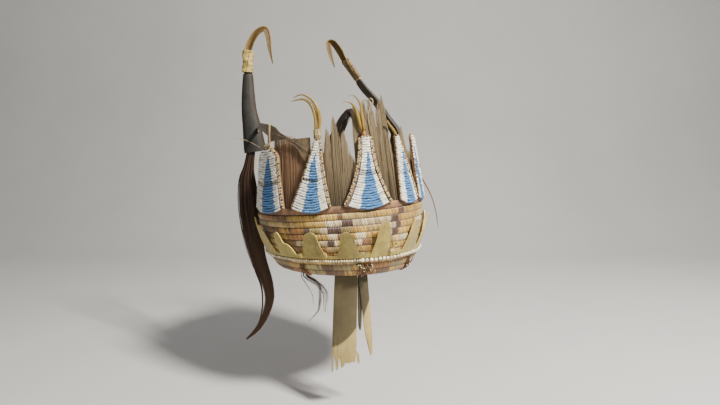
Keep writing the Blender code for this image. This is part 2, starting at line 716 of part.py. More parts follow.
def horn_samples(horn, start, end, count):
    """Point, direction, wide axis, opening side and width at places between two rows of the horn's table."""
    inward = -outward(horn.azimuth)
    forward = outward(horn.azimuth + 90 * horn.hook)
    hook_axis = outward(HOOK_AZIMUTH) * horn.hook
    base = horn_base(horn)

    def spot(place):
        row = smooth_row(horn.rows, place)
        return base + HORN_RISE * (inward * row.inward + forward * row.forward + Vector((0, 0, row.up)))

    samples = []
    for share in even(count):
        place = start + (end - start) * share
        row = smooth_row(horn.rows, place)
        along = (spot(min(place + 0.02, len(horn.rows) - 1)) - spot(max(place - 0.02, 0))).normalized()
        inside = hook_axis.cross(along).normalized()
        over = along.cross(inside)
        turn = math.radians(row.turn)
        opening = inside * math.cos(turn) + over * math.sin(turn)
        samples.append((spot(place), along, along.cross(opening), opening, HORN_WIDTH * row.width))
    return samples


def channel_depth(width, wall):
    return width * HORN_DEPTH + wall * 0.5


def channel_rings(samples, wall, flip=1):
    """C-shaped sections: an outer and an inner half ellipse, open toward the sample's opening side."""
    rings = []
    arc = [math.pi + math.pi * share for share in even(6)]
    for point, _, wide, opening, width in samples:
        half = width / 2
        depth = channel_depth(width, wall)
        thick = min(wall, half * 0.5)
        centre = point + opening * flip * depth / 2
        outer = [centre + wide * half * math.cos(turn) + opening * flip * depth * math.sin(turn) for turn in arc]
        inner = [centre + wide * (half - thick) * math.cos(turn) + opening * flip * (depth - thick) * math.sin(turn)
                 for turn in reversed(arc)]
        rings.append(outer + inner)
    return rings


def build_horn(horn, horn_material, blade_material, binding_material):
    """A horn and its blade, which meet inside a sleeve of wound strips."""
    body = horn_samples(horn, 0, horn.join - JOIN_GAP, 9)
    loft(f"horn_{horn.side}", channel_rings(body, HORN_WALL), horn_material)
    blade = horn_samples(horn, horn.join + JOIN_GAP, len(horn.rows) - 1, 11)
    loft(f"blade_{horn.side}", channel_rings(blade, BLADE_WALL, horn.blade_flip), blade_material)
    rings = []
    sleeve = horn_samples(horn, horn.neck, horn.cuff, 2 * BINDING_TURNS)
    sides = 10
    spread = 1 / math.cos(math.pi / sides)
    for side in range(sides):
        turn = 2 * math.pi * side / sides
        outer = []
        inner = []
        for index, (point, _, wide, opening, width) in enumerate(sleeve):
            across = width / 2 * SLEEVE_WIDE + FIT_GAP
            deep = channel_depth(width, HORN_WALL) / 2 * SLEEVE_DEEP + FIT_GAP
            ridge = BINDING_WALL * (1.0 if index % 2 else 0.6)
            direction = (math.cos(turn), math.sin(turn))
            inner.append(point + spread * (wide * across * direction[0] + opening * deep * direction[1]))
            outer.append(point + wide * (across * spread + ridge) * direction[0]
                         + opening * (deep * spread + ridge) * direction[1])
        rings.append(outer + inner[::-1])
    loft(f"horn_binding_{horn.side}", rings, binding_material, closed=True)


def build_bead_string(material):
    """A plain tube along the string's path, resting against the cap's wall."""
    radius = bowl_radius(BEAD_LINE) + FIT_GAP + BEAD_RADIUS
    outline = []
    for side in range(6):
        turn = 2 * math.pi * side / 6
        outline.append((radius + BEAD_RADIUS * math.cos(turn), BEAD_LINE + BEAD_RADIUS * math.sin(turn)))
    return turned("bead_string", outline, material)


def leaf_share(offset):
    """How high a leaf is at this distance from its middle line, as a share: straight flanks and a round top."""
    low, high = 0.0, 1.0
    for _ in range(20):
        middle = (low + high) / 2
        half = (1 - 0.62 * middle) * math.sqrt(1 - middle ** 6)
        low, high = (middle, high) if half > abs(offset) else (low, middle)
    return low


def collar_leaves():
    leaves = list(LEAVES)
    span = 360 + LEAVES[0].azimuth - LEAVES[-1].azimuth
    for index in range(PLAIN_LEAVES):
        leaves.append(Leaf(LEAVES[-1].azimuth + span * (index + 1) / (PLAIN_LEAVES + 1), 1, 0.95, PLAIN_FLARE))
    return leaves


def build_collar(material):
    """One hide strip round the cap above the beads, its upper edge cut into leaves that flare outward."""
    foot = BEAD_LINE + BEAD_RADIUS + FIT_GAP
    columns = []
    leaves = collar_leaves()
    for number, leaf in enumerate(leaves):
        offsets = (-1.0, -0.72, -0.45, -0.2, 0.2, 0.45, 0.72, 1.0)
        if number >= len(LEAVES):
            offsets = (-1.0, -0.6, -0.2, 0.2, 0.6, 1.0)
        outline = [(offset, leaf_share(offset)) for offset in offsets]
        if number == LOBED_LEAF:
            outline = LOBES
        turn = math.degrees(LEAF_HALF_WIDTH * leaf.width / bowl_radius(foot))
        for offset, share in outline:
            rise = LEAF_HEIGHT * leaf.height * share
            columns.append((leaf.azimuth + turn * offset, rise, leaf.flare))
        following = leaves[(number + 1) % len(leaves)]
        reach = math.degrees(LEAF_HALF_WIDTH * following.width / bowl_radius(foot))
        gap = (following.azimuth - reach - leaf.azimuth - turn) % 360
        if gap > WIDEST_STEP:
            columns.append((leaf.azimuth + turn + gap / 2, 0, leaf.flare))

    def leaf_point(column, v, face):
        azimuth, rise, flare = columns[column]
        height = foot + (COLLAR_BAND + rise) * v
        out = LEAF_FLARE * flare * (rise * v / LEAF_HEIGHT) ** FLARE_POWER
        radius = bowl_radius(height) + 2 * FIT_GAP + out + (COLLAR_WALL if face > 0 else 0)
        return ring_point(azimuth, radius, height)

    return sheet("leaf_collar", range(len(columns)), (0, 0.5, 1), leaf_point, material, closed=True)


def tie_radius():
    """Outer radius of the ties, just inside the flats of the rim's inner wall."""
    return (RIM_RADIUS - CAP_WALL) * math.cos(math.pi / RING_SIDES) - FIT_GAP


def build_tie(name, rows, material):
    columns = len(WIDE_TIE_END) - 1 if name == "tie_wide" else 3

    def tie_point(u, v, face):
        short = WIDE_TIE_END[round(u * columns)] if name == "tie_wide" else 0.05 * abs(math.sin(5 * u))
        row = interpolate(rows, v * (rows[-1].drop))
        drop = TIE_DROP * (row.drop * (1 - short / rows[-1].drop))
        radius = tie_radius() - TIE_WALL * (0.5 + row.inset) + face * TIE_WALL / 2
        return ring_point(row.left + (row.right - row.left) * u, radius, TIE_TUCK - drop)

    return sheet(name, even(columns), even(4), tie_point, material)


def build_lashings(material):
    """Cord turns that hold the ties and the collar: up the outside from the rim and a little way up the inside."""
    for number, azimuth in enumerate(LASHINGS, 1):
        turn = math.degrees(LASHING_WIDTH / RIM_RADIUS)
        outside = [(bowl_radius(share * LASHING_RISE) + 2 * FIT_GAP, share * LASHING_RISE) for share in (1, 0.6, 0.2)]
        inner = tie_radius()
        route = outside + [(RIM_RADIUS + FIT_GAP, -FIT_GAP), (inner, -FIT_GAP), (inner, TIE_TUCK)]
        thick = []
        for index, (radius, height) in enumerate(route):
            before = route[max(index - 1, 0)]
            after = route[min(index + 1, len(route) - 1)]
            along = Vector((after[0] - before[0], after[1] - before[1])).normalized()
            thick.append((radius - along.y * LASHING_WALL, height + along.x * LASHING_WALL))
        rings = []
        for (radius, height), (far_radius, far_height) in zip(route, thick):
            rings.append([
                ring_point(azimuth - turn, radius, height),
                ring_point(azimuth + turn, radius, height),
                ring_point(azimuth + turn * 0.5, far_radius, far_height),
                ring_point(azimuth - turn * 0.5, far_radius, far_height),
            ])
        loft(f"rim_lashing_{number}", rings, material)


def build_hair(name, rows, origin, scale, half_width, wall, wide, tips, material, count=10):
    """Long hair combed into locks: ridges across its width, each running to its own tip."""
    columns = len(tips) - 1
    last = len(rows) - 1

    def hair_point(u, v, face):
        after = smooth_row(rows, min(v * last + 0.1, last))
        before = smooth_row(rows, max(v * last - 0.1, 0))
        along = Vector(after[:3]) - Vector(before[:3])
        across = (wide - along * wide.dot(along) / along.length_squared).normalized()
        out = across.cross(along).normalized()
        row = smooth_row(rows, last * (tips[round(u * columns)] if v == 1 else v))
        ridge = 1 if round(u * columns) % 2 else 0.55
        taper = (1 - 0.85 * v ** 2) * (0.35 + 0.65 * min(v * 6, 1)) * math.sin(math.pi * (0.15 + 0.7 * u))
        thick = max(wall * ridge * taper, LOCK_WALL * min(0.4 + v * 3, 1))
        middle = origin + scale * Vector(row[:3])
        return middle + across * (2 * u - 1) * half_width * row.width + out * face * thick / 2

    return sheet(name, even(columns), even(count), hair_point, material)


def build_long_hair(tail_material, plume_material, wisp_material):
    base = horn_base(HORNS[0]) - Vector((0, 0, FIT_GAP))
    sight = outward(LEAN_AZIMUTH)
    tips = (0.953, 0.988, 0.965, 1.0, 0.960, 0.985, 0.950, 0.975, 0.945)
    rows = [HairRow(sight.x * row.side, sight.y * row.side, row.up, row.width) for row in LEFT_TAIL]
    build_hair("tail_left", rows, base, TAIL_LENGTH, TAIL_HALF_WIDTH, TAIL_WALL, sight, tips, tail_material)
    root = PLUME_REACH * math.hypot(PLUME[0].side, PLUME[0].back)
    dome = band_top() + DOME_RISE * math.sqrt(1 - (root / DOME_RADIUS) ** 2) + 2 * FIT_GAP
    rows = [PLUME[0]._replace(up=dome / PLUME_REACH), *PLUME[1:]]
    build_hair("back_plume", rows, Vector((0, 0, 0)), PLUME_REACH, PLUME_HALF_WIDTH, PLUME_WALL, sight, tips,
               plume_material, 13)
    azimuth, _ = BACK_HAIR
    height = band_top() + BACK_HAIR_HEIGHT * 0.5
    start = ring_point(azimuth + 12, hair_radius(height) - WISP_SETBACK + FIT_GAP + WISP_RADIUS, height)
    points = []
    for share in even(7):
        out = outward(azimuth + 12) * WISP_LENGTH * 0.34 * math.sin(share * 1.6)
        points.append(start + out - Vector((0, 0, WISP_LENGTH * share ** 1.15)))
    radii = [WISP_RADIUS * (1 - 0.75 * share) for share in even(7)]
    loft("wisp_right", tube_rings(points, radii, 6, outward(azimuth + 102)), wisp_material)


def main():
    for piece in list(bpy.data.objects):
        bpy.data.objects.remove(piece)
    straw = add_material("straw", (0.55, 0.36, 0.13), 0.6)
    band_hide = add_material("band hide", (0.28, 0.09, 0.04), 0.75)
    panel_hide = add_material("panel hide", (0.30, 0.15, 0.06), 0.7)
    white_beads = add_material("white beads", (0.78, 0.78, 0.72), 0.35)
    grey_hair = add_material("grey-brown hair", (0.20, 0.15, 0.09), 0.7)
    dark_hair = add_material("dark hair", (0.06, 0.03, 0.02), 0.5)
    web_hide = add_material("web hide", (0.25, 0.15, 0.08), 0.7)
    claw = add_material("claw", (0.45, 0.24, 0.05), 0.35)
    horn = add_material("horn", (0.10, 0.12, 0.13), 0.45)
    binding = add_material("wound binding", (0.45, 0.30, 0.12), 0.7)
    collar = add_material("yellow hide", (0.42, 0.33, 0.12), 0.7)
    cord = add_material("dark cord", (0.10, 0.05, 0.03), 0.8)
    tie = add_material("tie hide", (0.45, 0.33, 0.17), 0.8)

    build_straw_cap(straw)
    build_hide_crown(band_hide)
    for panel in PANELS:
        build_panel(panel, panel_hide, white_beads)
    for name, (start, end, locks) in TUFTS.items():
        build_tuft(name, start, end, locks, grey_hair)
    build_back_tuft(grey_hair)
    build_web(web_hide)
    build_web_strap(tie)
    build_claws(claw, binding)
    for row in HORNS:
        build_horn(row, horn, claw, binding)
    build_bead_string(white_beads)
    build_collar(collar)
    for name, rows in TIES.items():
        build_tie(name, rows, tie)
    build_lashings(cord)
    build_long_hair(dark_hair, dark_hair, grey_hair)


main()
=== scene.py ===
# %% [markdown]
# # A horned headdress, in Blender
# This notebook builds the visible model of a horned headdress, one piece at a time. A plain solid model of
# the same headdress is loaded first. It fixes where each piece is and how big it is, and each piece here
# takes the place of one of those solids, with the surface that the real one has: wrapped straw, seed beads,
# hair, hide, horn and cord.

# %% Load the solid model
import math
import random
from collections import namedtuple

import bmesh
import bpy
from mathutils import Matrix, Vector


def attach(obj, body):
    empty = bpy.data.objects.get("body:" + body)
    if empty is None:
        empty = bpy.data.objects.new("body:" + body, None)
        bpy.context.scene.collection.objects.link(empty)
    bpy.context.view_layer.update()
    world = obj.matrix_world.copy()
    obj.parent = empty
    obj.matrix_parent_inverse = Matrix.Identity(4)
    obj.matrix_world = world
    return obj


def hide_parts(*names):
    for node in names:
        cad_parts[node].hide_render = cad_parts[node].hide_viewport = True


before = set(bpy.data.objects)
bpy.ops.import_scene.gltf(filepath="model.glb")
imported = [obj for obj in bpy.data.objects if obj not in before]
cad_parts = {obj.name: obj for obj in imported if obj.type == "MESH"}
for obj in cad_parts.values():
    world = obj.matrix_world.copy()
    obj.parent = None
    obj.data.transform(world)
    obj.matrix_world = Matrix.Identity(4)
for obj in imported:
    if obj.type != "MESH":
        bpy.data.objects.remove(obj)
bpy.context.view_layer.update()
print("solids:", len(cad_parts))

# %% [markdown]
# ## Shared shape rules
# The headdress is described in rings: an azimuth in degrees from the front, a radius and a height.
# Everything then settles a little to one side, because the real cap leans. The same few functions place
# every piece, so the visible pieces and the solids agree.

# %% Sizes that the pieces share
GAP = 0.0003
CAP_HEIGHT, CAP_RADIUS, RIM_RADIUS, CAP_WALL = 0.0785, 0.112, 0.090, 0.004
ROW_COUNT, BOWL_CURVE = 10, 0.7
LEAN, LEAN_AZIMUTH = 0.072, 74.0
BAND_RADIUS, BAND_HEIGHT, CROWN_WALL = 0.111, 0.008, 0.0022
DOME_RADIUS, DOME_RISE = 0.1034, 0.033
PANEL_HEIGHT, PANEL_HALF_WIDTH, PANEL_WALL = 0.086, 0.030, 0.002
PANEL_LIFT, PANEL_ARC, PANEL_LEAN = 0.0012, 0.0075, 0.008
HAIR_SETBACK, HAIR_WALL = 0.0022, 0.005
BAND_TOP = CAP_HEIGHT + GAP + BAND_HEIGHT
UP = Vector((0, 0, 1))


def clamp(value, low=0, high=1):
    return min(max(value, low), high)


def ring_point(azimuth, radius, height):
    angle = math.radians(azimuth)
    return Vector((radius * math.sin(angle), -radius * math.cos(angle), height))


def outward(azimuth):
    return ring_point(azimuth, 1, 0)


def settle(point):
    """The point after the lean: moved back from the lean's side as it rises, with the far side lifted."""
    direction = outward(LEAN_AZIMUTH)
    share = clamp(point.z / CAP_HEIGHT)
    return point + UP * (point.dot(direction) * LEAN * share) - direction * LEAN * max(point.z, 0)


def bowl_radius(height):
    share = clamp(height / CAP_HEIGHT)
    return RIM_RADIUS + (CAP_RADIUS - RIM_RADIUS) * math.sin(math.pi / 2 * share ** BOWL_CURVE)


def panel_level(share):
    """The height of a place on the panels, given as a share of their height."""
    return CAP_HEIGHT + PANEL_LIFT + PANEL_HEIGHT * share


def panel_radius(height):
    return BAND_RADIUS + GAP - PANEL_LEAN * max(height - BAND_TOP, 0) / PANEL_HEIGHT


def hair_radius(height):
    return panel_radius(height) - HAIR_SETBACK


print("rim to band radius:", RIM_RADIUS, BAND_RADIUS)


# %% Reading tables smoothly
def table(kind, rows):
    """Rows of bare numbers as named tuples, so that each column has a name."""
    return tuple(kind(*row) for row in rows)


def smooth_row(rows, place):
    """The row at a fractional place in a table, on a smooth curve through all of its columns."""
    last = len(rows) - 1
    index = min(int(place), last - 1)
    share = place - index
    corners = [rows[min(max(index + step, 0), last)] for step in (-1, 0, 1, 2)]
    values = []
    for a, b, c, d in zip(*corners):
        values.append(0.5 * (2 * b + (c - a) * share + (2 * a - 5 * b + 4 * c - d) * share ** 2
                             + (3 * b - a - 3 * c + d) * share ** 3))
    return type(rows[0])(*values)


def smooth_at(rows, share):
    return smooth_row(rows, share * (len(rows) - 1))


def interpolate(rows, value, column=0):
    """The row where the given column has this value, on straight lines between rows."""
    for before, after in zip(rows, rows[1:]):
        if value <= after[column]:
            break
    share = (value - before[column]) / (after[column] - before[column])
    return type(before)(*(a + (b - a) * share for a, b in zip(before, after)))


def even(count):
    return [index / count for index in range(count + 1)]


def wobble(*values):
    """A smooth, repeatable wander between -1 and 1."""
    total = 0
    for step, value in enumerate(values):
        slow, middle, quick = value * 1.7 + step * 2.1, value * 3.9 + step, value * 9.1
        total += math.sin(slow) + 0.6 * math.sin(middle) + 0.3 * math.sin(quick)
    return total / (1.9 * len(values))


def bell(value, middle, width):
    return math.exp(-((value - middle) / width) ** 2)


print("wander samples:", [round(wobble(value), 2) for value in range(5)])

# %% [markdown]
# ## Making meshes from grids
# Almost every piece here is a grid of points that has been bent into place: a sheet with a front and a
# back, or a tube. One function turns such a grid into a mesh with a UV map and, where it is asked, a colour
# for each face. UV means two numbers that say where on the piece a point is, so a material can draw stripes
# along it.


# %% Grid and piece helpers
def place_mesh(name, mesh, material, replaces=()):
    """Make a piece that rides on the headdress and takes the place of the solids that it stands for."""
    if material.name not in mesh.materials:
        mesh.materials.append(material)
    piece = bpy.data.objects.new(name, mesh)
    bpy.context.scene.collection.objects.link(piece)
    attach(piece, "root")
    if replaces:
        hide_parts(*replaces)
    return piece


def add_piece(name, shape, material, replaces=(), smooth_angle=50):
    """Turn a bmesh into a piece, smooth but for the edges where it bends hard."""
    bmesh.ops.recalc_face_normals(shape, faces=shape.faces)
    mesh = bpy.data.meshes.new(name)
    shape.to_mesh(mesh)
    shape.free()
    mesh.shade_smooth()
    mesh.set_sharp_from_angle(angle=math.radians(smooth_angle))
    return place_mesh(name, mesh, material, replaces)


def ring_vert(shape, azimuth, radius, height):
    return shape.verts.new(settle(ring_point(azimuth, radius, height)))


def untinted(column, row):
    return (1, 1, 1, 1)


def fill_grid(shape, grid, uv_of, tint_of=untinted, wrap_columns=False, wrap_rows=False, blend=False):
    """Faces between the rows and columns of a grid of points, with UVs and a tint for each."""
    uv_layer = shape.loops.layers.uv.get("UVMap") or shape.loops.layers.uv.new("UVMap")
    tint_layer = shape.loops.layers.float_color.get("tint") or shape.loops.layers.float_color.new("tint")
    columns, rows = len(grid), len(grid[0])
    for column in range(columns if wrap_columns else columns - 1):
        for row in range(rows if wrap_rows else rows - 1):
            places = ((column, row), (column + 1, row), (column + 1, row + 1), (column, row + 1))
            corners = [grid[a % columns][b % rows] for a, b in places]
            if len(set(corners)) < 3:
                continue
            try:
                face = shape.faces.new(list(dict.fromkeys(corners)))
            except ValueError:
                continue
            tint = tint_of(column, row)
            used = {}
            for place, corner in zip(places, corners):
                used.setdefault(corner, place)
            for loop in face.loops:
                loop[uv_layer].uv = uv_of(*used[loop.vert])
                loop[tint_layer] = tint_of(*used[loop.vert]) if blend else tint


def sheet_piece(name, across, along, place, material, replaces=(), tint_of=untinted, size=(1, 1),
                blend=False):
    """A thin closed piece: place(u, v, face) gives each corner, with face 1 in front and -1 behind."""
    shape = bmesh.new()
    grids = {}
    for face in (1, -1):
        grids[face] = [[shape.verts.new(settle(place(u, v, face))) for v in along] for u in across]
    width, height = len(across), len(along)

    def uv_of(column, row):
        return (column / (width - 1) * size[0], along[row] * size[1])

    for face in (1, -1):
        fill_grid(shape, grids[face], uv_of, tint_of, blend=blend)
    rims = [[(column, row) for column in range(width)] for row in (0, height - 1)]
    rims += [[(column, row) for row in range(height)] for column in (0, width - 1)]
    for rim in rims:
        edge = [[grids[face][column][row] for face in (1, -1)] for column, row in rim]
        fill_grid(shape, edge, lambda c, r, rim=rim: uv_of(*rim[c]), lambda c, r, rim=rim: tint_of(*rim[c]))
    return add_piece(name, shape, material, replaces)


def tube_piece(name, rings, material, replaces=(), closed=False, tint_of=untinted):
    """A closed piece through rings of points: U runs round it and V along it."""
    shape = bmesh.new()
    made = [[shape.verts.new(settle(point)) for point in ring] for ring in rings]

    def uv_of(column, row):
        return (row / len(rings[0]), column / (len(rings) - 1))

    fill_grid(shape, made, uv_of, tint_of, wrap_columns=closed, wrap_rows=True)
    if not closed:
        shape.faces.new(made[0])
        shape.faces.new(made[-1])
    return add_piece(name, shape, material, replaces)


print("grid helpers ready")

# %% [markdown]
# ## Building materials from nodes
# A material in Blender is a small graph. A helper that adds a node, sets its values and joins its inputs
# keeps each recipe short. Surface detail that several materials need, such as fibres or grain, is kept in
# node groups, which are recipes that can be used inside other recipes.


# %% Material helpers
def set_socket(tree, socket, value):
    """Join an input to another node's output, or give it a constant. A plain colour gets an alpha of one."""
    if isinstance(value, bpy.types.NodeSocket):
        tree.links.new(value, socket)
    elif socket.type == "RGBA":
        socket.default_value = (*value, 1)
    else:
        socket.default_value = value


def add_node(tree, kind, inputs=None, **settings):
    """Add a node, set its properties, and give its inputs numbers or links."""
    node = tree.nodes.new(kind)
    for name, value in settings.items():
        setattr(node, name, value)
    for name, value in (inputs or {}).items():
        set_socket(tree, node.inputs[name], value)
    return node


def math_node(tree, operation, first, second=0.0):
    return add_node(tree, "ShaderNodeMath", {0: first, 1: second}, operation=operation).outputs[0]


def plus(tree, first, second):
    return math_node(tree, "ADD", first, second)


def minus(tree, first, second):
    return math_node(tree, "SUBTRACT", first, second)


def times(tree, first, second):
    return math_node(tree, "MULTIPLY", first, second)


def off_middle(tree, value):
    """How far a value between 0 and 1 is from one half."""
    return math_node(tree, "ABSOLUTE", minus(tree, value, 0.5))


def remap(tree, value, low, high, to_low=0.0, to_high=1.0):
    """Stretch the range from low to high over another one, and clamp to it."""
    ends = {"From Min": low, "From Max": high, "To Min": to_low, "To Max": to_high}
    return add_node(tree, "ShaderNodeMapRange", {"Value": value, **ends}).outputs["Result"]


def split(tree, vector):
    return add_node(tree, "ShaderNodeSeparateXYZ", {"Vector": vector}).outputs


def join(tree, x, y, z=0.0):
    return add_node(tree, "ShaderNodeCombineXYZ", {"X": x, "Y": y, "Z": z}).outputs["Vector"]


def noise(tree, place, scale, detail, distortion=0.0):
    inputs = {"Vector": place, "Scale": scale, "Detail": detail, "Distortion": distortion}
    return add_node(tree, "ShaderNodeTexNoise", inputs).outputs["Fac"]


def object_place(tree):
    return add_node(tree, "ShaderNodeTexCoord").outputs["Object"]


def uv_place(tree):
    return add_node(tree, "ShaderNodeUVMap", uv_map="UVMap").outputs["UV"]


def stored(tree, name, output="Color"):
    """A value that the mesh carries under this name."""
    return add_node(tree, "ShaderNodeAttribute", attribute_name=name).outputs[output]


def mix_colour(tree, factor, first, second, blend="MIX"):
    inputs = {0: factor, 6: first, 7: second}
    return add_node(tree, "ShaderNodeMix", inputs, data_type="RGBA", blend_type=blend).outputs[2]


def multiply(tree, first, second, factor=1.0):
    return mix_colour(tree, factor, first, second, "MULTIPLY")


def ramp(tree, factor, *stops):
    """A colour ramp with (position, colour) stops."""
    node = add_node(tree, "ShaderNodeValToRGB", {"Fac": factor})
    points = node.color_ramp.elements
    while len(points) < len(stops):
        points.new(0.5)
    for point, (position, colour) in zip(points, stops):
        point.position = position
        point.color = (*colour, 1)
    return node.outputs["Color"]


def new_material(name):
    material = bpy.data.materials.new(name)
    material.use_nodes = True
    return material, material.node_tree


def finish_surface(tree, colour, roughness, height=None, strength=0.3, distance=0.001, **values):
    """Join a colour, a roughness and a bump height to the shader, and set its other inputs to constants."""
    sockets = tree.nodes["Principled BSDF"].inputs
    set_socket(tree, sockets["Base Color"], colour)
    set_socket(tree, sockets["Roughness"], roughness)
    if height is not None:
        bump = add_node(tree, "ShaderNodeBump", {"Strength": strength, "Distance": distance, "Height": height})
        tree.links.new(bump.outputs["Normal"], sockets["Normal"])
    for name, value in values.items():
        sockets[name.replace("_", " ")].default_value = value


print("material helpers ready")


# %% Node groups: mottling and fibres
def new_group(kind, name, inputs, outputs):
    """An empty node group with named sockets: the group, what comes into it and what leaves it."""
    group = bpy.data.node_groups.new(name, kind)
    for direction, sockets in (("INPUT", inputs), ("OUTPUT", outputs)):
        for title, carries in sockets.items():
            group.interface.new_socket(title, in_out=direction, socket_type="NodeSocket" + carries)
    return group, group.nodes.new("NodeGroupInput").outputs, group.nodes.new("NodeGroupOutput").inputs


mottle, source, result = new_group(
    "ShaderNodeTree", "mottle", {"Vector": "Vector", "Scale": "Float", "Dark": "Color", "Light": "Color"},
    {"Color": "Color", "Value": "Float"})
coarse = noise(mottle, source["Vector"], source["Scale"], 4.0)
fine = noise(mottle, source["Vector"], times(mottle, source["Scale"], 5.3), 2.0)
spread = remap(mottle, plus(mottle, coarse, times(mottle, fine, 0.45)), 0.52, 0.93)
set_socket(mottle, result["Value"], spread)
set_socket(mottle, result["Color"], mix_colour(mottle, spread, source["Dark"], source["Light"]))

fibres, source, result = new_group(
    "ShaderNodeTree", "fibres", {"Vector": "Vector", "Across": "Float", "Along": "Float"},
    {"Value": "Float", "Fine": "Float"})
parts = split(fibres, source["Vector"])
stretches = (("X", "Across"), ("Y", "Along"), ("Z", "Across"))
stretched = join(fibres, *(times(fibres, parts[axis], source[size]) for axis, size in stretches))
set_socket(fibres, result["Value"], noise(fibres, stretched, 1.0, 3.0))
set_socket(fibres, result["Fine"], noise(fibres, stretched, 3.1, 2.0))


def mottled(tree, place, scale, dark, light):
    """Blotches between two tones: outputs Color and Value."""
    inputs = {"Vector": place, "Scale": scale, "Dark": dark, "Light": light}
    return add_node(tree, "ShaderNodeGroup", inputs, node_tree=mottle).outputs


def fibred(tree, place, across, along):
    """Long streaks along Y: outputs Value and Fine."""
    inputs = {"Vector": place, "Across": across, "Along": along}
    return add_node(tree, "ShaderNodeGroup", inputs, node_tree=fibres).outputs


print("node groups:", [group.name for group in (mottle, fibres)])

# %% [markdown]
# ## The straw cap
# The cap is a coil of padding wrapped in flat straw, one row on top of the next. Each row is round, so
# light catches its middle and dark gathers between the rows. The straw was dyed, and the weaver changed
# colour every few centimetres: natural yellow, bleached white, orange and purple-brown. The rows are turned
# as one wall here, and each face carries its dye as a colour attribute, which is a colour stored on the
# mesh. The seen side's blocks are charted in a short table, and the far side follows the same
# habits at random with a fixed seed.

# %% Straw dye chart
GOLD, WHITE, ORANGE = (0.64, 0.42, 0.096), (0.88, 0.77, 0.49), (0.46, 0.225, 0.062)
PURPLE, BROWN, OLIVE, PALE = (0.12, 0.070, 0.062), (0.23, 0.12, 0.050), (0.39, 0.32, 0.13), (0.68, 0.52, 0.21)
DYES = {"g": GOLD, "w": WHITE, "o": ORANGE, "p": PURPLE, "b": BROWN, "v": OLIVE, "c": PALE}
# Rows from the top down. Each block is a dye letter and the azimuth where it ends, from -80 to 96.
DYE_ROWS = (
    "o-63 b-49.5 g-16 b-13 c5.5 g24.5 p30 g60 c80 o96",
    "v-66 c-43 g-23 w-13.5 p-6.5 w18.5 p24.5 g50 c64 p70 g96",
    "b-57 g-48.5 p-47 o-37.5 p-34 v-27 w-22.5 p-14 v-7.5 g2.5 c13 w22.5 p27 g44 w58 b70 g96",
    "b-66.5 g-50 o-38 b-34 g-22 w-16.5 b-11.5 g-5.5 w1 g10.5 c19.5 p24.5 g44 c58 p64 w78 g96",
    "c-56.5 b-44 w-41 v-28.5 w-23.5 p-19 w-16.5 g-9.5 w-1.5 b3.5 g12 c26.5 w40 g60 b70 c96",
    "c-66.5 g-50 b-39.5 g-31 o-24 c-17.5 g-9.5 b-4.5 g5 c16.5 g36 p42 c60 g78 v96",
    "g-58 v-44 c-29.5 o-19.5 c-8.5 v2.5 g14 c28 o38 g60 c96",
    "v-54 c-40 g-24 c-10 v0 o12 g24 o40 v56 c96",
    "v-60 g-44 v-30 b-22 v-8 g6 o20 v34 g52 c96",
    "b-56 o-40 v-28 b-14 g-6 o10 b22 g34 o52 v70 b96",
)


def dye_chart():
    """For each row, a list of (end azimuth, colour) that runs once round the cap from -80 degrees."""
    rng = random.Random(7)
    chart = []
    for text in DYE_ROWS:
        blocks = [(float(word[1:]), DYES[word[0]]) for word in text.split()]
        end = 96
        while end < 280:
            end = min(end + rng.uniform(7, 22), 280)
            blocks.append((end, DYES[rng.choice("ggwcopbcgw")]))
        chart.append(blocks)
    return chart


chart = dye_chart()
print("dye blocks:", sum(len(blocks) for blocks in chart))

# %% Straw material
STRIPS_ROUND = 352.0
straw, tree = new_material("straw_wrap")
uv = split(tree, uv_place(tree))
row_share = math_node(tree, "FRACT", uv["Y"])
row_number = math_node(tree, "FLOOR", uv["Y"])
slant = plus(tree, times(tree, uv["X"], STRIPS_ROUND), times(tree, row_share, 0.9))
shifted = plus(tree, slant, times(tree, row_number, 7.31))
strip_place = join(tree, math_node(tree, "FLOOR", shifted), row_number)
strip_shade = add_node(tree, "ShaderNodeTexWhiteNoise", {"Vector": strip_place}).outputs["Value"]
edge = remap(tree, off_middle(tree, math_node(tree, "FRACT", shifted)), 0.17, 0.5)
age = mottled(tree, object_place(tree), 38.0, (0.58, 0.48, 0.38), (1.12, 1.08, 1.0))
shade = remap(tree, strip_shade, 0.0, 1.0, 0.56, 1.36)
toned = multiply(tree, stored(tree, "tint"), age["Color"])
toned = multiply(tree, toned, join(tree, shade, shade, shade))
toned = mix_colour(tree, times(tree, edge, 0.9), toned, (0.05, 0.025, 0.012))
# Painted shade: the colour is darkened where the round rows meet, as shade between them.
row_gap_painted_shade = remap(tree, off_middle(tree, row_share), 0.41, 0.48)
toned = mix_colour(tree, times(tree, row_gap_painted_shade, 0.85), toned, (0.030, 0.015, 0.009))
height = minus(tree, times(tree, strip_shade, 0.4), edge)
finish_surface(tree, toned, 0.45, height, 0.7, 0.0005, Sheen_Weight=0.1)
print("material:", straw.name)

# %% Straw cap mesh
CAP_COLUMNS, ROW_STEPS = 480, 6
ROW_INSET, ROW_BULGE = 0.0011, 0.0014


def dye_at(row, azimuth):
    wrapped = (azimuth + 80) % 360 - 80
    return next((*colour, 1) for end, colour in chart[ROW_COUNT - 1 - row] if wrapped < end)


def cap_profile():
    """The wall's section as (height, out from the bowl, place in rows), up the outside and down the inside."""
    outer = []
    for row in range(ROW_COUNT):
        for step in range(ROW_STEPS):
            share = (step + 0.02) / ROW_STEPS
            bulge = math.sqrt(max(1 - (2 * share - 1) ** 2, 0))
            height = CAP_HEIGHT * row / ROW_COUNT + CAP_HEIGHT / ROW_COUNT * share
            outer.append((height, -ROW_INSET + ROW_BULGE * bulge, row + share))
    outer.append((CAP_HEIGHT, -0.0009, ROW_COUNT - 0.001))
    return outer, [(CAP_HEIGHT * share, -CAP_WALL, share * ROW_COUNT) for share in reversed(even(20))]


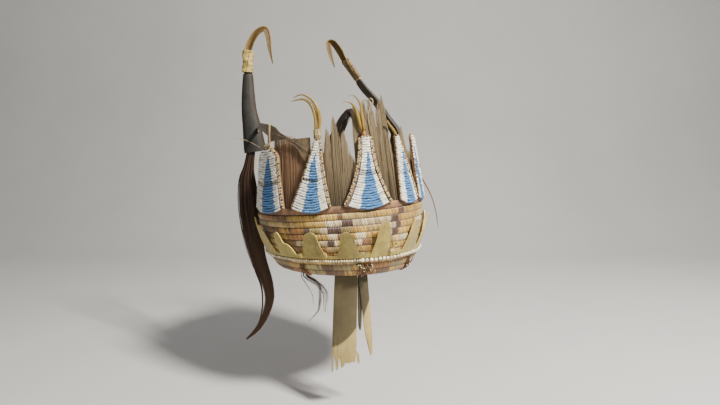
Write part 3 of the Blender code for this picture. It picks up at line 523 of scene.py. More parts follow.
def build_cap():
    shape = bmesh.new()
    outer, inner = cap_profile()
    grid = []
    for column in range(CAP_COLUMNS):
        azimuth = 360 * column / CAP_COLUMNS
        line = []
        for height, out, row_place in outer:
            sway = 0.00022 * wobble(azimuth * 0.05 + int(row_place) * 3.1) * (height > 0.001)
            fibre = 0.00010 * math.sin(azimuth * 2.3 + row_place * 7)
            line.append(ring_vert(shape, azimuth, bowl_radius(height) + out + fibre, height + sway))
        for height, out, row_place in inner:
            ripple = 0.0006 * abs(math.sin(math.pi * row_place))
            line.append(ring_vert(shape, azimuth, bowl_radius(height) + out - ripple, height))
        grid.append(line)
    places = [row_place for _, _, row_place in outer + inner]

    def uv_of(column, row):
        return (column / CAP_COLUMNS, places[row % len(places)])

    def tint_of(column, row):
        middle = (places[row % len(places)] + places[(row + 1) % len(places)]) / 2
        return dye_at(min(int(middle), ROW_COUNT - 1), 360 * (column + 0.5) / CAP_COLUMNS)

    fill_grid(shape, grid, uv_of, tint_of, wrap_columns=True, wrap_rows=True)
    return add_piece("straw_wrap_cap", shape, straw, ["straw_cap"], 60)


print("cap faces:", len(build_cap().data.polygons))

# %% [markdown]
# ## The hide band and crown
# A reddish hide is stretched over the cap's top row. Only its band shows between the panels. Its top, under
# the hair, is a plain low dome. Hide is rarely flat, so the band has long shallow wrinkles and the surface
# a fine grain.

# %% Hide materials
def hide_material(name, dark, light, roughness=0.72, scale=70.0, grain=0.35):
    """Tanned hide: blotches of two tones, a fine pebble grain and pale scuffs where it is rubbed."""
    material, tree = new_material(name)
    place = object_place(tree)
    tone = mottled(tree, place, scale, dark, light)
    pebble = add_node(tree, "ShaderNodeTexVoronoi", {"Vector": place, "Scale": 1500.0}, feature="SMOOTH_F1")
    crease = noise(tree, place, 240.0, 5.0, 1.2)
    height = plus(tree, crease, times(tree, pebble.outputs["Distance"], 0.5))
    rough = remap(tree, crease, 0.0, 1.0, roughness - 0.12, roughness + 0.12)
    colour = multiply(tree, tone["Color"], stored(tree, "tint"))
    finish_surface(tree, colour, rough, height, grain, 0.0006, Sheen_Weight=0.15)
    return material


red_hide = hide_material("red_hide", (0.115, 0.054, 0.026), (0.30, 0.157, 0.075))
print("hide:", red_hide.name)

# %% Hide band mesh
BAND_COLUMNS = 240


def build_band():
    foot = CAP_HEIGHT + GAP
    band = BAND_RADIUS - GAP
    dome = [(math.cos(turn), math.sin(turn)) for turn in (math.pi / 2 * share for share in even(10))]
    outer = [(band - 0.0006, foot), (band, foot + 0.0012), (band + 0.0002, foot + 0.004),
             (band, BAND_TOP - 0.0012), (band - 0.001, BAND_TOP), (DOME_RADIUS, BAND_TOP)]
    outer += [(DOME_RADIUS * across, BAND_TOP + DOME_RISE * up) for across, up in dome[1:-1]]
    inside = DOME_RADIUS - CROWN_WALL
    inner = [(inside * across, BAND_TOP + (DOME_RISE - CROWN_WALL) * up) for across, up in reversed(dome[:-1])]
    inner += [(inside, BAND_TOP - CROWN_WALL), (band - CROWN_WALL, BAND_TOP - CROWN_WALL),
              (band - CROWN_WALL, foot)]
    shape = bmesh.new()
    crown = BAND_TOP + DOME_RISE
    tops = [shape.verts.new(settle(UP * height)) for height in (crown, crown - CROWN_WALL)]
    grid = []
    for column in range(BAND_COLUMNS):
        azimuth = 360 * column / BAND_COLUMNS
        line = []
        for index, (radius, height) in enumerate(outer):
            sag = 0.00035 * wobble(azimuth * 0.11, index * 0.9) if index else 0
            line.append(ring_vert(shape, azimuth, radius - abs(sag), height + sag * 0.8))
        line += tops
        line += [ring_vert(shape, azimuth, radius, height) for radius, height in inner]
        grid.append(line)
    fill_grid(shape, grid, lambda c, r: (c / 40, r / 8), wrap_columns=True, wrap_rows=True)
    return add_piece("hide_band", shape, red_hide, ["hide_crown"])


print("band faces:", len(build_band().data.polygons))

# %% [markdown]
# ## The beaded panels
# Each panel is a stiff piece of hide with a field of seed beads: short rows that curve with the panel's
# foot, each row a string of small glass beads. Two white flanks leave a blue wedge between them. Several
# thousand beads would be slow to place by hand, so a small Geometry Nodes tree sets one low bead on each
# point of a cloud, turned along its row, and the cloud carries each bead's colour.

# %% Panel outline rules
Panel = namedtuple("Panel", "number azimuth width top waist shift height shoulder")
PANELS = table(Panel, (
    (1, -67.0, 1.10, 0.63, 0.00, 0.10, 0.94, 0.16), (2, -31.6, 0.82, 0.16, 0.05, 0.45, 1.00, 0.03),
    (3, 3.9, 1.00, 0.30, 0.17, 0.12, 1.00, 0.03), (4, 36.7, 0.66, 0.22, 0.00, -0.36, 1.00, 0.05),
    (5, 59.0, 0.66, 0.48, 0.00, -0.24, 1.02, 0.05)))


def panel_half_width(panel, share):
    straight = panel.width + (panel.top * panel.width - panel.width) * share
    curved = straight - panel.waist * 4 * share * (1 - share)
    rounding = max(share - (1 - panel.shoulder), 0) / panel.shoulder
    return PANEL_HALF_WIDTH * curved * math.sqrt(max(1 - rounding ** 2, 0.3))


def panel_point(panel, across, share, out, margin):
    """A point on the panel: across runs from -1 to 1 and share up from the foot, margin insets the outline."""
    foot = CAP_HEIGHT + PANEL_LIFT + margin * 0.5
    low = foot + PANEL_ARC * across ** 2
    high = panel_level(panel.height) - margin
    height = low + (high - low) * share
    full = panel_half_width(panel, share)
    half = full - min(margin, full * 0.45)
    sideways = across * half + panel.shift * PANEL_HALF_WIDTH * share
    azimuth = panel.azimuth + math.degrees(sideways / BAND_RADIUS)
    return ring_point(azimuth, panel_radius(height) + out, height)


print("panels:", len(PANELS))

# %% Panel hide
panel_hide = hide_material("panel_hide", (0.085, 0.045, 0.022), (0.24, 0.145, 0.068), 0.68)


def build_panel(panel):
    across = [2 * share - 1 for share in even(36)]

    def point(u, v, face):
        bow = min(0.0005 * wobble(u * 3 + panel.number, v * 4), 0)
        roll = 0.0005 * max(abs(u) - 0.88, 0) / 0.12
        return panel_point(panel, u, v, PANEL_WALL + roll + bow if face > 0 else 0, 0)

    def tint(column, row):
        rim = max(abs(2 * column / 36 - 1) - 0.9, 0) / 0.1
        shade = 0.8 + 0.25 * wobble(column * 0.7 + panel.number, row * 0.4)
        return (shade * (1 + 0.3 * rim), shade * (1 + 0.25 * rim), shade * (1 + 0.1 * rim), 1)

    return sheet_piece(f"panel_hide_{panel.number}", across, even(48), point, panel_hide,
                       [f"panel_{panel.number}"], tint)


print("panel hides:", [len(build_panel(panel).data.polygons) for panel in PANELS])


# %% A tree that sets beads on points
def named(tree, name, kind="FLOAT"):
    """A value that the points carry under this name."""
    node = add_node(tree, "GeometryNodeInputNamedAttribute", {"Name": name}, data_type=kind)
    return node.outputs["Attribute"]


def dress(tree, geometry, surface, result):
    """The last steps of both trees: real geometry, smooth shading and the material."""
    real = add_node(tree, "GeometryNodeRealizeInstances", {"Geometry": geometry})
    smooth = add_node(tree, "GeometryNodeSetShadeSmooth", {"Geometry": real.outputs["Geometry"]})
    inputs = {"Geometry": smooth.outputs["Geometry"], "Material": surface}
    dressed = add_node(tree, "GeometryNodeSetMaterial", inputs)
    tree.links.new(dressed.outputs["Geometry"], result["Geometry"])


def bead_tree(name, rounded=False):
    """Each point of a cloud gets one bead, turned so that its hole runs along the point's run direction."""
    tree, source, result = new_group("GeometryNodeTree", name, {
        "Geometry": "Geometry", "Width": "Float", "Length": "Float", "Sides": "Int", "Surface": "Material",
    }, {"Geometry": "Geometry"})
    inputs = {"Vertices": source["Sides"], "Radius": 0.5, "Depth": 1.0}
    barrel = add_node(tree, "GeometryNodeMeshCylinder", inputs)
    if rounded:
        inputs = {"Mesh": barrel.outputs["Mesh"], "Level": 2, "Edge Crease": 0.25}
        barrel = add_node(tree, "GeometryNodeSubdivisionSurface", inputs)
    size = join(tree, source["Width"], source["Width"], source["Length"])
    bead = add_node(tree, "GeometryNodeTransform", {"Geometry": barrel.outputs["Mesh"], "Scale": size})
    run = named(tree, "run", "FLOAT_VECTOR")
    turn = add_node(tree, "FunctionNodeAlignRotationToVector", {"Vector": run}, axis="Z")
    cloud = add_node(tree, "GeometryNodeMeshToPoints", {"Mesh": source["Geometry"]})
    placed = add_node(tree, "GeometryNodeInstanceOnPoints", {
        "Points": cloud.outputs["Points"], "Instance": bead.outputs["Geometry"],
        "Rotation": turn.outputs["Rotation"], "Scale": named(tree, "grow")})
    dress(tree, placed.outputs["Instances"], source["Surface"], result)
    return tree


def cloud_mesh(name, points, edges=(), **columns):
    """A mesh of bare points, with attributes named after the given columns."""
    mesh = bpy.data.meshes.new(name)
    mesh.from_pydata(points, edges, [])
    kinds = {1: ("FLOAT", "value"), 3: ("FLOAT_VECTOR", "vector"), 4: ("FLOAT_COLOR", "color")}
    for title, values in columns.items():
        rows = [tuple(value) if hasattr(value, "__len__") else (value,) for value in values]
        kind, field = kinds[len(rows[0])]
        flat = [number for row in rows for number in row]
        mesh.attributes.new(title, kind, "POINT").data.foreach_set(field, flat)
    return mesh


def grow_mesh(name, mesh, tree, **values):
    """Run a Geometry Nodes tree on the mesh once and keep the result as a plain mesh."""
    holder = bpy.data.objects.new(name, mesh)
    bpy.context.scene.collection.objects.link(holder)
    modifier = holder.modifiers.new("grow", "NODES")
    modifier.node_group = tree
    for item in tree.interface.items_tree:
        if item.in_out == "INPUT" and item.name in values:
            modifier[item.identifier] = values[item.name]
    grown = bpy.data.meshes.new_from_object(holder.evaluated_get(bpy.context.evaluated_depsgraph_get()))
    grown.name = name
    bpy.data.objects.remove(holder)
    return grown


beads_on_points = bead_tree("beads on points")
print("tree inputs:", [item.name for item in beads_on_points.interface.items_tree if item.in_out == "INPUT"])

# %% Glass bead material
glass, tree = new_material("glass_beads")
grime = mottled(tree, object_place(tree), 160.0, (0.66, 0.62, 0.55), (1.08, 1.08, 1.06))
colour = multiply(tree, stored(tree, "tint"), grime["Color"])
finish_surface(tree, colour, 0.28, grime["Value"], 0.10, 0.0002, Coat_Weight=0.25)


def beads_piece(name, beads, tree, replaces=(), **values):
    """One piece from many beads. Each bead is (point, run direction, colour, size)."""
    points, runs, tints, sizes = zip(*beads)
    mesh = cloud_mesh("bead points", points, run=runs, tint=tints, grow=sizes)
    grown = grow_mesh(name, mesh, tree, Surface=glass, **values)
    return place_mesh(name, grown, glass, replaces)


print("material:", glass.name)

# %% Bead rows on the panels
BEAD_ROW, BEAD_WIDTH, BEAD_LENGTH, BEAD_FOOT = 0.0030, 0.00298, 0.00150, 0.0012
BEAD_WHITE, BEAD_BLUE = (0.97, 0.96, 0.89), (0.078, 0.235, 0.53)
BEAD_GREEN, BEAD_RED = (0.20, 0.23, 0.15), (0.30, 0.15, 0.07)
# How far the field stays in from each panel's left and right edge, where the whipped edge lies
FIELD_EDGES = {1: (0.0010, 0.0046), 2: (0.0016, 0.0036), 3: (0.0044, 0.0048), 4: (0.0014, 0.0046),
               5: (0.0020, 0.0030)}
Wedge = namedtuple("Wedge", "share left right")
# Where the blue begins and ends across each panel, from the foot up to the wedge's tip
WEDGES = {number: table(Wedge, rows) for number, rows in {
    1: ((0.0, -0.28, 0.60), (0.38, -0.28, 0.56), (0.70, -0.05, 0.42), (0.86, 0.16, 0.28)),
    2: ((0.0, -0.42, 0.53), (0.20, -0.38, 0.43), (0.38, -0.38, 0.40), (0.56, -0.49, 0.29), (0.68, -0.52, 0.14),
        (0.73, -0.34, 0.06), (0.80, -0.20, 0.0)),
    3: ((0.0, -0.42, 0.56), (0.20, -0.38, 0.49), (0.45, -0.25, 0.41), (0.57, -0.15, 0.33), (0.76, 0.03, 0.29)),
    4: ((0.0, -0.44, 0.55), (0.41, -0.38, 0.45), (0.60, -0.10, 0.45), (0.77, 0.25, 0.50)),
    5: ((0.0, -0.70, 0.40), (0.45, -0.85, 0.10), (0.80, -0.70, -0.30)),
}.items()}
# The row where each field was joined, darker and a little uneven
SEAM_SHARE = {1: 0.46, 2: 0.45, 3: 0.50, 4: 0.44, 5: 0.5}


def build_beads(panel, rng):
    beads = []
    wedges = WEDGES[panel.number]
    rows = round((PANEL_HEIGHT * panel.height - 2 * BEAD_FOOT) / BEAD_ROW)
    for row in range(rows):
        share = BEAD_FOOT / PANEL_HEIGHT + (row + 0.5) / rows * (1 - 2.2 * BEAD_FOOT / PANEL_HEIGHT)
        half = panel_half_width(panel, share)
        margins = [min(margin / half, 0.5) for margin in FIELD_EDGES[panel.number]]
        left, right = margins[0] - 1, 1 - margins[1]
        count = max(round((right - left) * half / BEAD_LENGTH), 3)
        wedge = interpolate(wedges, min(share, wedges[-1].share))
        blue_from = wedge.left + rng.uniform(-0.02, 0.02)
        blue_to = wedge.right + rng.uniform(-0.02, 0.02)
        seam = abs(share - SEAM_SHARE[panel.number]) < 0.6 / rows
        lift = PANEL_WALL + GAP + 0.0008 - 0.0008 * seam

        def spot(at, drift, share=share, lift=lift):
            return settle(panel_point(panel, at, share, lift, 0) + UP * drift)

        for index in range(count):
            across = left + (right - left) * (index + 0.5) / count
            drift = 0.16 * BEAD_ROW * wobble(row * 5.1 + across * 3 + panel.number)
            size = (1 + rng.uniform(-0.06, 0.06)) * (0.78 if seam else 1)
            point = spot(across, drift)
            run = (spot(across + 0.02, drift) - point).normalized()
            blue = share <= wedges[-1].share and blue_from < across < blue_to
            base = BEAD_BLUE if blue else BEAD_WHITE
            if seam and panel.number == 2 and rng.random() < 0.5:
                base = BEAD_GREEN if rng.random() < 0.6 else BEAD_RED
            shade = rng.uniform(0.90, 1.06) * (0.72 if seam else 1)
            shade *= 0.93 + 0.09 * math.sin(row * 2.3 + across * 2)
            beads.append((point, run, (*(shade * value for value in base), 1), size))
    beads_piece(f"bead_rows_{panel.number}", beads, beads_on_points, [f"beadwork_{panel.number}"],
                Width=BEAD_WIDTH, Length=BEAD_LENGTH * 0.98, Sides=8)
    return len(beads)


bead_rng = random.Random(11)
print("beads in each field:", [build_beads(panel, bead_rng) for panel in PANELS])

# %% [markdown]
# ## Whipped panel edges
# The panels' edges are overcast with thread that carries small beads: a white one, then a gold, copper or
# dark one. They lie across the edge and stand up from it. The same tree places them, a stitch apart, along
# each outline.

# %% Edge beads
EDGE_PITCH, EDGE_WIDTH, EDGE_LENGTH = 0.0018, 0.0019, 0.0025
EDGE_WHITE, EDGE_GOLD = (0.72, 0.65, 0.48), (0.42, 0.28, 0.095)
EDGE_TONES = (EDGE_GOLD, (0.26, 0.14, 0.055), EDGE_GOLD, (0.075, 0.045, 0.025))


def outline_places(panel):
    """Points round the panel's sides and top as (across, share), a stitch apart."""
    path = [(-1.0, share) for share in even(200)] + [(2 * step - 1, 1.0) for step in even(60)][1:]
    path += [(1.0, 1 - share) for share in even(200)][1:]
    spots = [panel_point(panel, across, share, PANEL_WALL, 0.0008) for across, share in path]
    kept, walked = [], 0.0
    for index in range(1, len(path)):
        walked += (spots[index] - spots[index - 1]).length
        if walked >= EDGE_PITCH:
            walked = 0.0
            kept.append(path[index])
    return kept


def build_edge(panel, rng):
    beads = []
    for number, (across, share) in enumerate(outline_places(panel)):
        narrow = across < -0.99 and FIELD_EDGES[panel.number][0] < 0.003
        for line in range(1 if narrow else 2):
            margin = 0.0005 + line * 0.0021
            inset = panel_point(panel, across, share, PANEL_WALL + 0.0011 + 0.0003 * line, margin)
            inset.z += EDGE_PITCH * 0.5 * line + 0.00015 * wobble(number * 1.3)
            point = settle(inset)
            ahead = settle(panel_point(panel, across * 0.9, share, PANEL_WALL + 0.0014, margin))
            white = (number + line) % 2 == 0
            base = EDGE_WHITE if white else EDGE_TONES[(number // 2 + line) % 4]
            tint = (*(rng.uniform(0.85, 1.1) * value for value in base), 1)
            size = rng.uniform(0.92, 1.08) * (0.68 if white else 1.05) * (0.85 if narrow else 1)
            beads.append((point, (ahead - point).normalized(), tint, size))
    beads_piece(f"edge_beads_{panel.number}", beads, beads_on_points, Width=EDGE_WIDTH, Length=EDGE_LENGTH,
                Sides=6)
    return len(beads)


edge_rng = random.Random(12)
print("edge beads:", [build_edge(panel, edge_rng) for panel in PANELS])

# %% [markdown]
# ## Hair
# The hair between the panels is real hair: bundles of straight, stiff strands that end in uneven points.
# Each tuft is made of strands that start on the band and run up to the outline of its locks. Only the
# middle line of each strand is drawn here. A Geometry Nodes tree sweeps a small triangle along the lines
# and thins it towards the tip, which is much quicker than building each tube by hand.

# %% A tree that turns lines into strands
def strand_tree():
    """Each line of a mesh becomes a tapering strand, and keeps how far along it each point is."""
    tree, source, result = new_group("GeometryNodeTree", "lines to strands", {
        "Geometry": "Geometry", "Radius": "Float", "Tip share": "Float", "Sides": "Int", "Surface": "Material",
    }, {"Geometry": "Geometry"})
    lines = add_node(tree, "GeometryNodeMeshToCurve", {"Mesh": source["Geometry"]})
    along = add_node(tree, "GeometryNodeSplineParameter").outputs["Factor"]
    taper = remap(tree, times(tree, along, along), 0.0, 1.0, 1.0, source["Tip share"])
    scale = times(tree, times(tree, taper, named(tree, "thick")), source["Radius"])
    marked = add_node(tree, "GeometryNodeStoreNamedAttribute", {
        "Geometry": lines.outputs["Curve"], "Name": "along", "Value": along}, data_type="FLOAT", domain="POINT")
    sized = add_node(tree, "GeometryNodeSetCurveRadius", {"Curve": marked.outputs["Geometry"], "Radius": scale})
    ring = add_node(tree, "GeometryNodeCurvePrimitiveCircle", {"Resolution": source["Sides"], "Radius": 1.0})
    swept = add_node(tree, "GeometryNodeCurveToMesh", {
        "Curve": sized.outputs["Curve"], "Profile Curve": ring.outputs["Curve"], "Scale": scale,
        "Fill Caps": True})
    dress(tree, swept.outputs["Mesh"], source["Surface"], result)
    return tree


lines_to_strands = strand_tree()


def strands_piece(name, lines, material, radius, replaces=(), tip=0.25, sides=3):
    """One piece from many lines. Each line is (points, thickness, shade)."""
    points, edges, thick, shade = [], [], [], []
    for line, width, tone in lines:
        start = len(points)
        points += [settle(point) for point in line]
        edges += [(start + step, start + step + 1) for step in range(len(line) - 1)]
        thick += [width] * len(line)
        shade += [tone] * len(line)
    mesh = cloud_mesh(name, points, edges, thick=thick, shade=shade)
    values = {"Radius": radius, "Tip share": tip, "Sides": sides, "Surface": material}
    return place_mesh(name, grow_mesh(name, mesh, lines_to_strands, **values), material, replaces)


print("tree:", lines_to_strands.name)


# %% Hair materials
def hair_material(name, dark, light, tip, roughness=0.5, root=1.0):
    """Strands differ a little from each other and fade or darken towards their tips, and painted shade darkens
    their roots.
    """
    material, tree = new_material(name)
    along = stored(tree, "along", "Fac")
    streak = fibred(tree, object_place(tree), 900.0, 900.0)
    base = mix_colour(tree, stored(tree, "shade", "Fac"), dark, light)
    toned = mix_colour(tree, times(tree, along, along), base, tip)
    toned = multiply(tree, toned, ramp(tree, along, (0.0, (root, root, root)), (0.45, (1, 1, 1))))
    streaks = ramp(tree, streak["Value"], (0.3, (0.35, 0.3, 0.28)), (0.7, (1.2, 1.15, 1.1)))
    finish_surface(tree, multiply(tree, toned, streaks, 0.5), roughness, streak["Fine"], 0.2, 0.0002,
                   Sheen_Weight=0.06, Specular_IOR_Level=0.35)
    return material


REDDISH = (0.064, 0.030, 0.016), (0.43, 0.25, 0.122), (0.37, 0.225, 0.120)
GREY_BROWN = (0.046, 0.032, 0.016), (0.28, 0.205, 0.102), (0.32, 0.245, 0.132)
NEAR_BLACK = (0.008, 0.004, 0.002), (0.064, 0.031, 0.014), (0.125, 0.062, 0.028)
PLUME_BROWN = (0.017, 0.011, 0.008), (0.118, 0.083, 0.055), (0.170, 0.080, 0.040)
# Painted shade: root darkens each strand's lowest part, where the hair crowds at the band.
red_hair = hair_material("reddish_hair", *REDDISH, 0.5, 0.60)
grey_hair = hair_material("grey_brown_hair", *GREY_BROWN, 0.5, 0.5)
dark_hair = hair_material("dark_hair", *NEAR_BLACK, 0.45)
plume_hair = hair_material("plume_hair", *PLUME_BROWN, 0.5)
print("hair materials: 4")

# %% Tuft tables
BACK_HAIR_HEIGHT, BACK_LOCKS = 0.767 * PANEL_HEIGHT, 16
TUFT_STRAND_RADIUS = 0.00050


def back_lock(index):
    """Even locks, each with a dip before it, for the hair that the front hides."""
    swell = 0.94 + 0.06 * math.sin(index * 1.9)
    height = BACK_HAIR_HEIGHT / PANEL_HEIGHT * swell * (0.90 if index % 2 == 0 else 1)
    return (index / (2 * BACK_LOCKS), height)


Tuft = namedtuple("Tuft", "start end strands locks")
Lock = namedtuple("Lock", "across height")
TUFTS = {name: Tuft(start, end, strands, table(Lock, rows)) for name, start, end, strands, rows in (
    ("tuft_1", -62.0, -28.0, 900, (
        (0.00, 1.00), (0.12, 1.03), (0.26, 1.03), (0.42, 1.02), (0.57, 0.99), (0.70, 0.93), (0.84, 0.78),
        (1.00, 0.56))),
    ("tuft_2", -27.0, -3.0, 760, (
        (0.00, 0.72), (0.25, 0.85), (0.32, 1.06), (0.42, 0.97), (0.545, 1.22), (0.69, 0.94), (0.81, 1.00),
        (1.00, 0.60))),
    ("tuft_3", -1.2, 30.0, 980, (
        (0.00, 1.18), (0.055, 1.36), (0.14, 1.24), (0.24, 1.32), (0.322, 1.38), (0.39, 1.30), (0.48, 1.44),
        (0.524, 1.25), (0.587, 1.22), (0.731, 1.38), (0.865, 1.47), (0.901, 0.95), (1.00, 0.20))),
    ("tuft_4", 36.0, 57.0, 500, (
        (0.00, 0.70), (0.40, 1.045), (0.50, 0.84), (0.64, 0.66), (0.80, 0.42), (1.00, 0.12))),
    ("tuft_back", 64.0, 289.0, 2200, [back_lock(index) for index in range(2 * BACK_LOCKS + 1)]),
)}
print("tufts:", list(TUFTS))


# %% Tufts
def nearest_tip(locks, across):
    """The highest lock near this place, towards which a strand leans."""
    tips = [lock for before, lock, after in zip(locks, locks[1:], locks[2:])
            if lock.height >= before.height and lock.height >= after.height]
    return min(tips or [max(locks, key=lambda lock: lock.height)], key=lambda lock: abs(lock.across - across))


def build_tuft(name, tuft, material, rng):
    lines = []
    sweep = tuft.end - tuft.start
    for number in range(tuft.strands):
        u = (number + rng.random()) / tuft.strands
        away = nearest_tip(tuft.locks, u).across - u
        pull = away * rng.uniform(0.1, 0.7) * (abs(away) < 0.12) * (name != "tuft_1")
        limit = interpolate(tuft.locks, clamp(u + pull, 0.001, 0.999)).height
        reach = limit * rng.uniform(0.93, 1.0 if name == "tuft_1" else 1.03)
        reach *= 1 if rng.random() < 0.7 else rng.uniform(0.6, 0.95)
        depth = rng.uniform(-0.5, 0.5) * HAIR_WALL
        bend = rng.uniform(-0.35, 0.35) / sweep
        phase = rng.uniform(0, 6)
        line = []
        for v in even(8):
            height = BAND_TOP + GAP + PANEL_HEIGHT * reach * v
            across = clamp(u + pull * v ** 2 + bend * math.sin(phase + 4 * v) * v)
            radius = hair_radius(height) - HAIR_WALL / 2 + depth * (1 - 0.5 * v ** 2)
            line.append(ring_point(tuft.start + sweep * across, radius, height))
        clump = 0.5 + 0.5 * wobble(u * sweep * 1.3, depth * 300)
        tone = 0.55 * clump + 0.45 * rng.random() ** 1.3
        # Painted shade: strands that lie deeper in the tuft are painted darker.
        lines.append((line, rng.uniform(0.55, 1.15), tone * (0.7 if depth < 0 else 1.0)))
    if name == "tuft_3":
        lines += curled_lines(rng)
    strands_piece(f"{name}_strands", lines, material, TUFT_STRAND_RADIUS)


# Two locks of the third tuft curl over at their tips, as azimuth and height share
CURLS = (
    ((11.6, 0.90), (10.9, 1.10), (10.76, 1.191), (12.52, 1.298), (15.19, 1.347), (16.0, 1.41), (14.23, 1.436),
     (12.88, 1.397)),
    ((8.4, 0.90), (6.9, 1.12), (6.27, 1.254), (6.31, 1.325), (7.48, 1.39), (9.61, 1.417), (11.32, 1.396),
     (10.75, 1.348)))
CURL_STRANDS = 46


def curled_lines(rng):
    lines = []
    for curl in CURLS:
        rows = table(Lock, curl)
        for _ in range(CURL_STRANDS):
            side, deep = rng.uniform(-0.75, 0.75), rng.uniform(-0.0010, 0.0010)
            length = rng.uniform(0.8, 1.0)
            line = []
            for share in even(26):
                row = smooth_at(rows, share * length)
                height = BAND_TOP + PANEL_HEIGHT * (row.height + 0.012 * side * share)
                thin = 1 - 0.6 * share
                radius = hair_radius(height) - HAIR_WALL * 0.1 + deep * thin
                line.append(ring_point(row.across + side * thin, radius, height))
            lines.append((line, rng.uniform(0.6, 1.1), 0.35 + 0.6 * rng.random()))
    return lines


def build_core(name, tuft, material):
    """The dense middle of a tuft, which carries the strands and is painted darker than them, as the shade
    between them.
    """
    sweep = tuft.end - tuft.start

    def point(u, v, face):
        lock = interpolate(tuft.locks, clamp(u, 0.0001, 0.9999))
        height = BAND_TOP + GAP + PANEL_HEIGHT * lock.height * v * (0.86 - 0.06 * abs(wobble(u * 60)))
        groove = 0.75 + 0.25 * wobble(u * sweep * 1.9, v)
        full = HAIR_WALL * 0.8 * (1 - 0.8 * v ** 2) * groove
        return ring_point(tuft.start + sweep * u, hair_radius(height) - HAIR_WALL / 2 + face * full / 2, height)

    sheet_piece(f"{name}_core", even(12 * (len(tuft.locks) - 1)), even(14), point, material, [name],
                size=(sweep / 10, 1))


def core_material(name, dark, light):
    material, tree = new_material(name)
    streak = fibred(tree, uv_place(tree), 60.0, 3.0)
    colour = mix_colour(tree, streak["Value"], dark, light)
    finish_surface(tree, colour, 0.6, streak["Fine"], 0.6, 0.0008)
    return material


# Painted shade: these hair masses are coloured darker than the strands' own hair, for the shade inside each
# tuft.
red_core_shaded = core_material("reddish_hair_mass_shaded", (0.038, 0.018, 0.010), (0.20, 0.112, 0.060))
grey_core_shaded = core_material("grey_hair_mass_shaded", (0.034, 0.024, 0.014), (0.15, 0.11, 0.062))
hair_rng = random.Random(21)
for name, tuft in TUFTS.items():
    reddish = name == "tuft_1"
    build_core(name, tuft, red_core_shaded if reddish else grey_core_shaded)
    build_tuft(name, tuft, red_hair if reddish else grey_hair, hair_rng)
print("strands in the tufts:", sum(tuft.strands for tuft in TUFTS.values()))

# %% [markdown]
# ## The hide web
# A thin woven-looking hide is stretched from the left horn over the first tuft, and a narrow strap ties its
# peak to the first panel. It is a single sheet that follows a table of low and high edges, with a fold line
# along its middle. The strap's thread is slack: a few loops at the panel's top, and a long loose end that
# lies over the horn's foot.

# %% Web material and mesh
WEB_WALL, WEB_STRAP_WIDTH, HORN_WIDTH = 0.0013, 0.0042, 0.031
WEAVE_THREADS = 900.0
WebRow = namedtuple("WebRow", "azimuth low high out")
WEB = table(WebRow, (
    (-112.5, 1.25, 1.345, 0.20), (-97.0, 1.25, 1.352, 0.03), (-81.0, 1.236, 1.335, 0.00),
    (-69.0, 1.14, 1.294, 0.00), (-64.4, 1.03, 1.283, 0.00), (-58.0, 1.038, 1.224, 0.00),
    (-53.5, 1.043, 1.143, 0.00), (-48.5, 1.044, 1.087, 0.00), (-43.5, 0.995, 1.034, 0.00),
    (-39.5, 0.900, 1.033, 0.00), (-35.0, 0.740, 1.037, 0.00), (-30.0, 0.620, 1.037, 0.00)))
WEB_PEAK = WEB[4]


def weave_material(name, dark, light):
    """A close weave: warp and weft lines over a mottled hide tone."""
    material, tree = new_material(name)
    tone = mottled(tree, object_place(tree), 85.0, dark, light)
    axes = split(tree, uv_place(tree))
    warp, weft = (math_node(tree, "SINE", times(tree, axes[axis], WEAVE_THREADS)) for axis in ("X", "Y"))
    woven = times(tree, plus(tree, plus(tree, warp, weft), 2.0), 0.25)
    colour = multiply(tree, tone["Color"], stored(tree, "tint"))
    colour = mix_colour(tree, times(tree, woven, 0.22), colour, (0.03, 0.018, 0.010))
    finish_surface(tree, colour, 0.8, woven, 0.35, 0.0003, Sheen_Weight=0.3)
    return material


web_hide = weave_material("web_hide", (0.046, 0.027, 0.010), (0.178, 0.113, 0.043))


def build_web():
    def point(u, v, face):
        azimuth = WEB[0].azimuth + (WEB[-1].azimuth - WEB[0].azimuth) * u
        row = interpolate(WEB, azimuth)
        height = panel_level(row.low + (row.high - row.low) * v)
        middle = (panel_radius(height) + hair_radius(height)) / 2
        fold = 0.0005 * bell(v, 0.45, 0.08)
        ripple = 0.0004 * wobble(u * 14, v * 3)
        return ring_point(azimuth, middle + row.out * HORN_WIDTH + ripple + fold + face * 0.0005, height)

    def tint(column, row):
        # Painted shade darkens the colour along the fold line; the cut edges are paler.
        shade = (1 - 0.55 * bell(row / 24, 0.45, 0.05)) * (1.25 if row in (0, 23) else 1)
        return (shade, shade, shade, 1)

    return sheet_piece("hide_web_sheet", even(140), even(24), point, web_hide, ["hide_web"], tint,
                       size=(1.6, 0.35))


def web_area():
    total = 0.0
    for before, after in zip(WEB, WEB[1:]):
        run = math.radians(after.azimuth - before.azimuth) * BAND_RADIUS
        total += run * PANEL_HEIGHT * ((before.high - before.low) + (after.high - after.low)) / 2
    return total


web = build_web()
print("web area in square metres:", round(web_area(), 5))

# %% Web strap
THREAD_WIDTH, THREAD_LOOPS, LOOP_RADIUS = 0.0008, 7, 0.00055
ThreadPoint = namedtuple("ThreadPoint", "x y z")
# From the first panel's top, over the face of the left horn's foot, to the foot's outer side, before the lean
LOOSE_THREAD = table(ThreadPoint, (
    (-0.1060, -0.0360, 0.1630), (-0.1065, -0.0180, 0.1655), (-0.1085, 0.0040, 0.1685),
    (-0.1135, 0.0235, 0.1735), (-0.1215, 0.0325, 0.1778), (-0.1262, 0.0450, 0.1806)))
pale_hide = hide_material("pale_hide", (0.24, 0.17, 0.085), (0.50, 0.38, 0.20), 0.7)
thread_strand = hair_material("pale_thread", (0.16, 0.11, 0.055), (0.50, 0.40, 0.22), (0.40, 0.31, 0.17), 0.6)


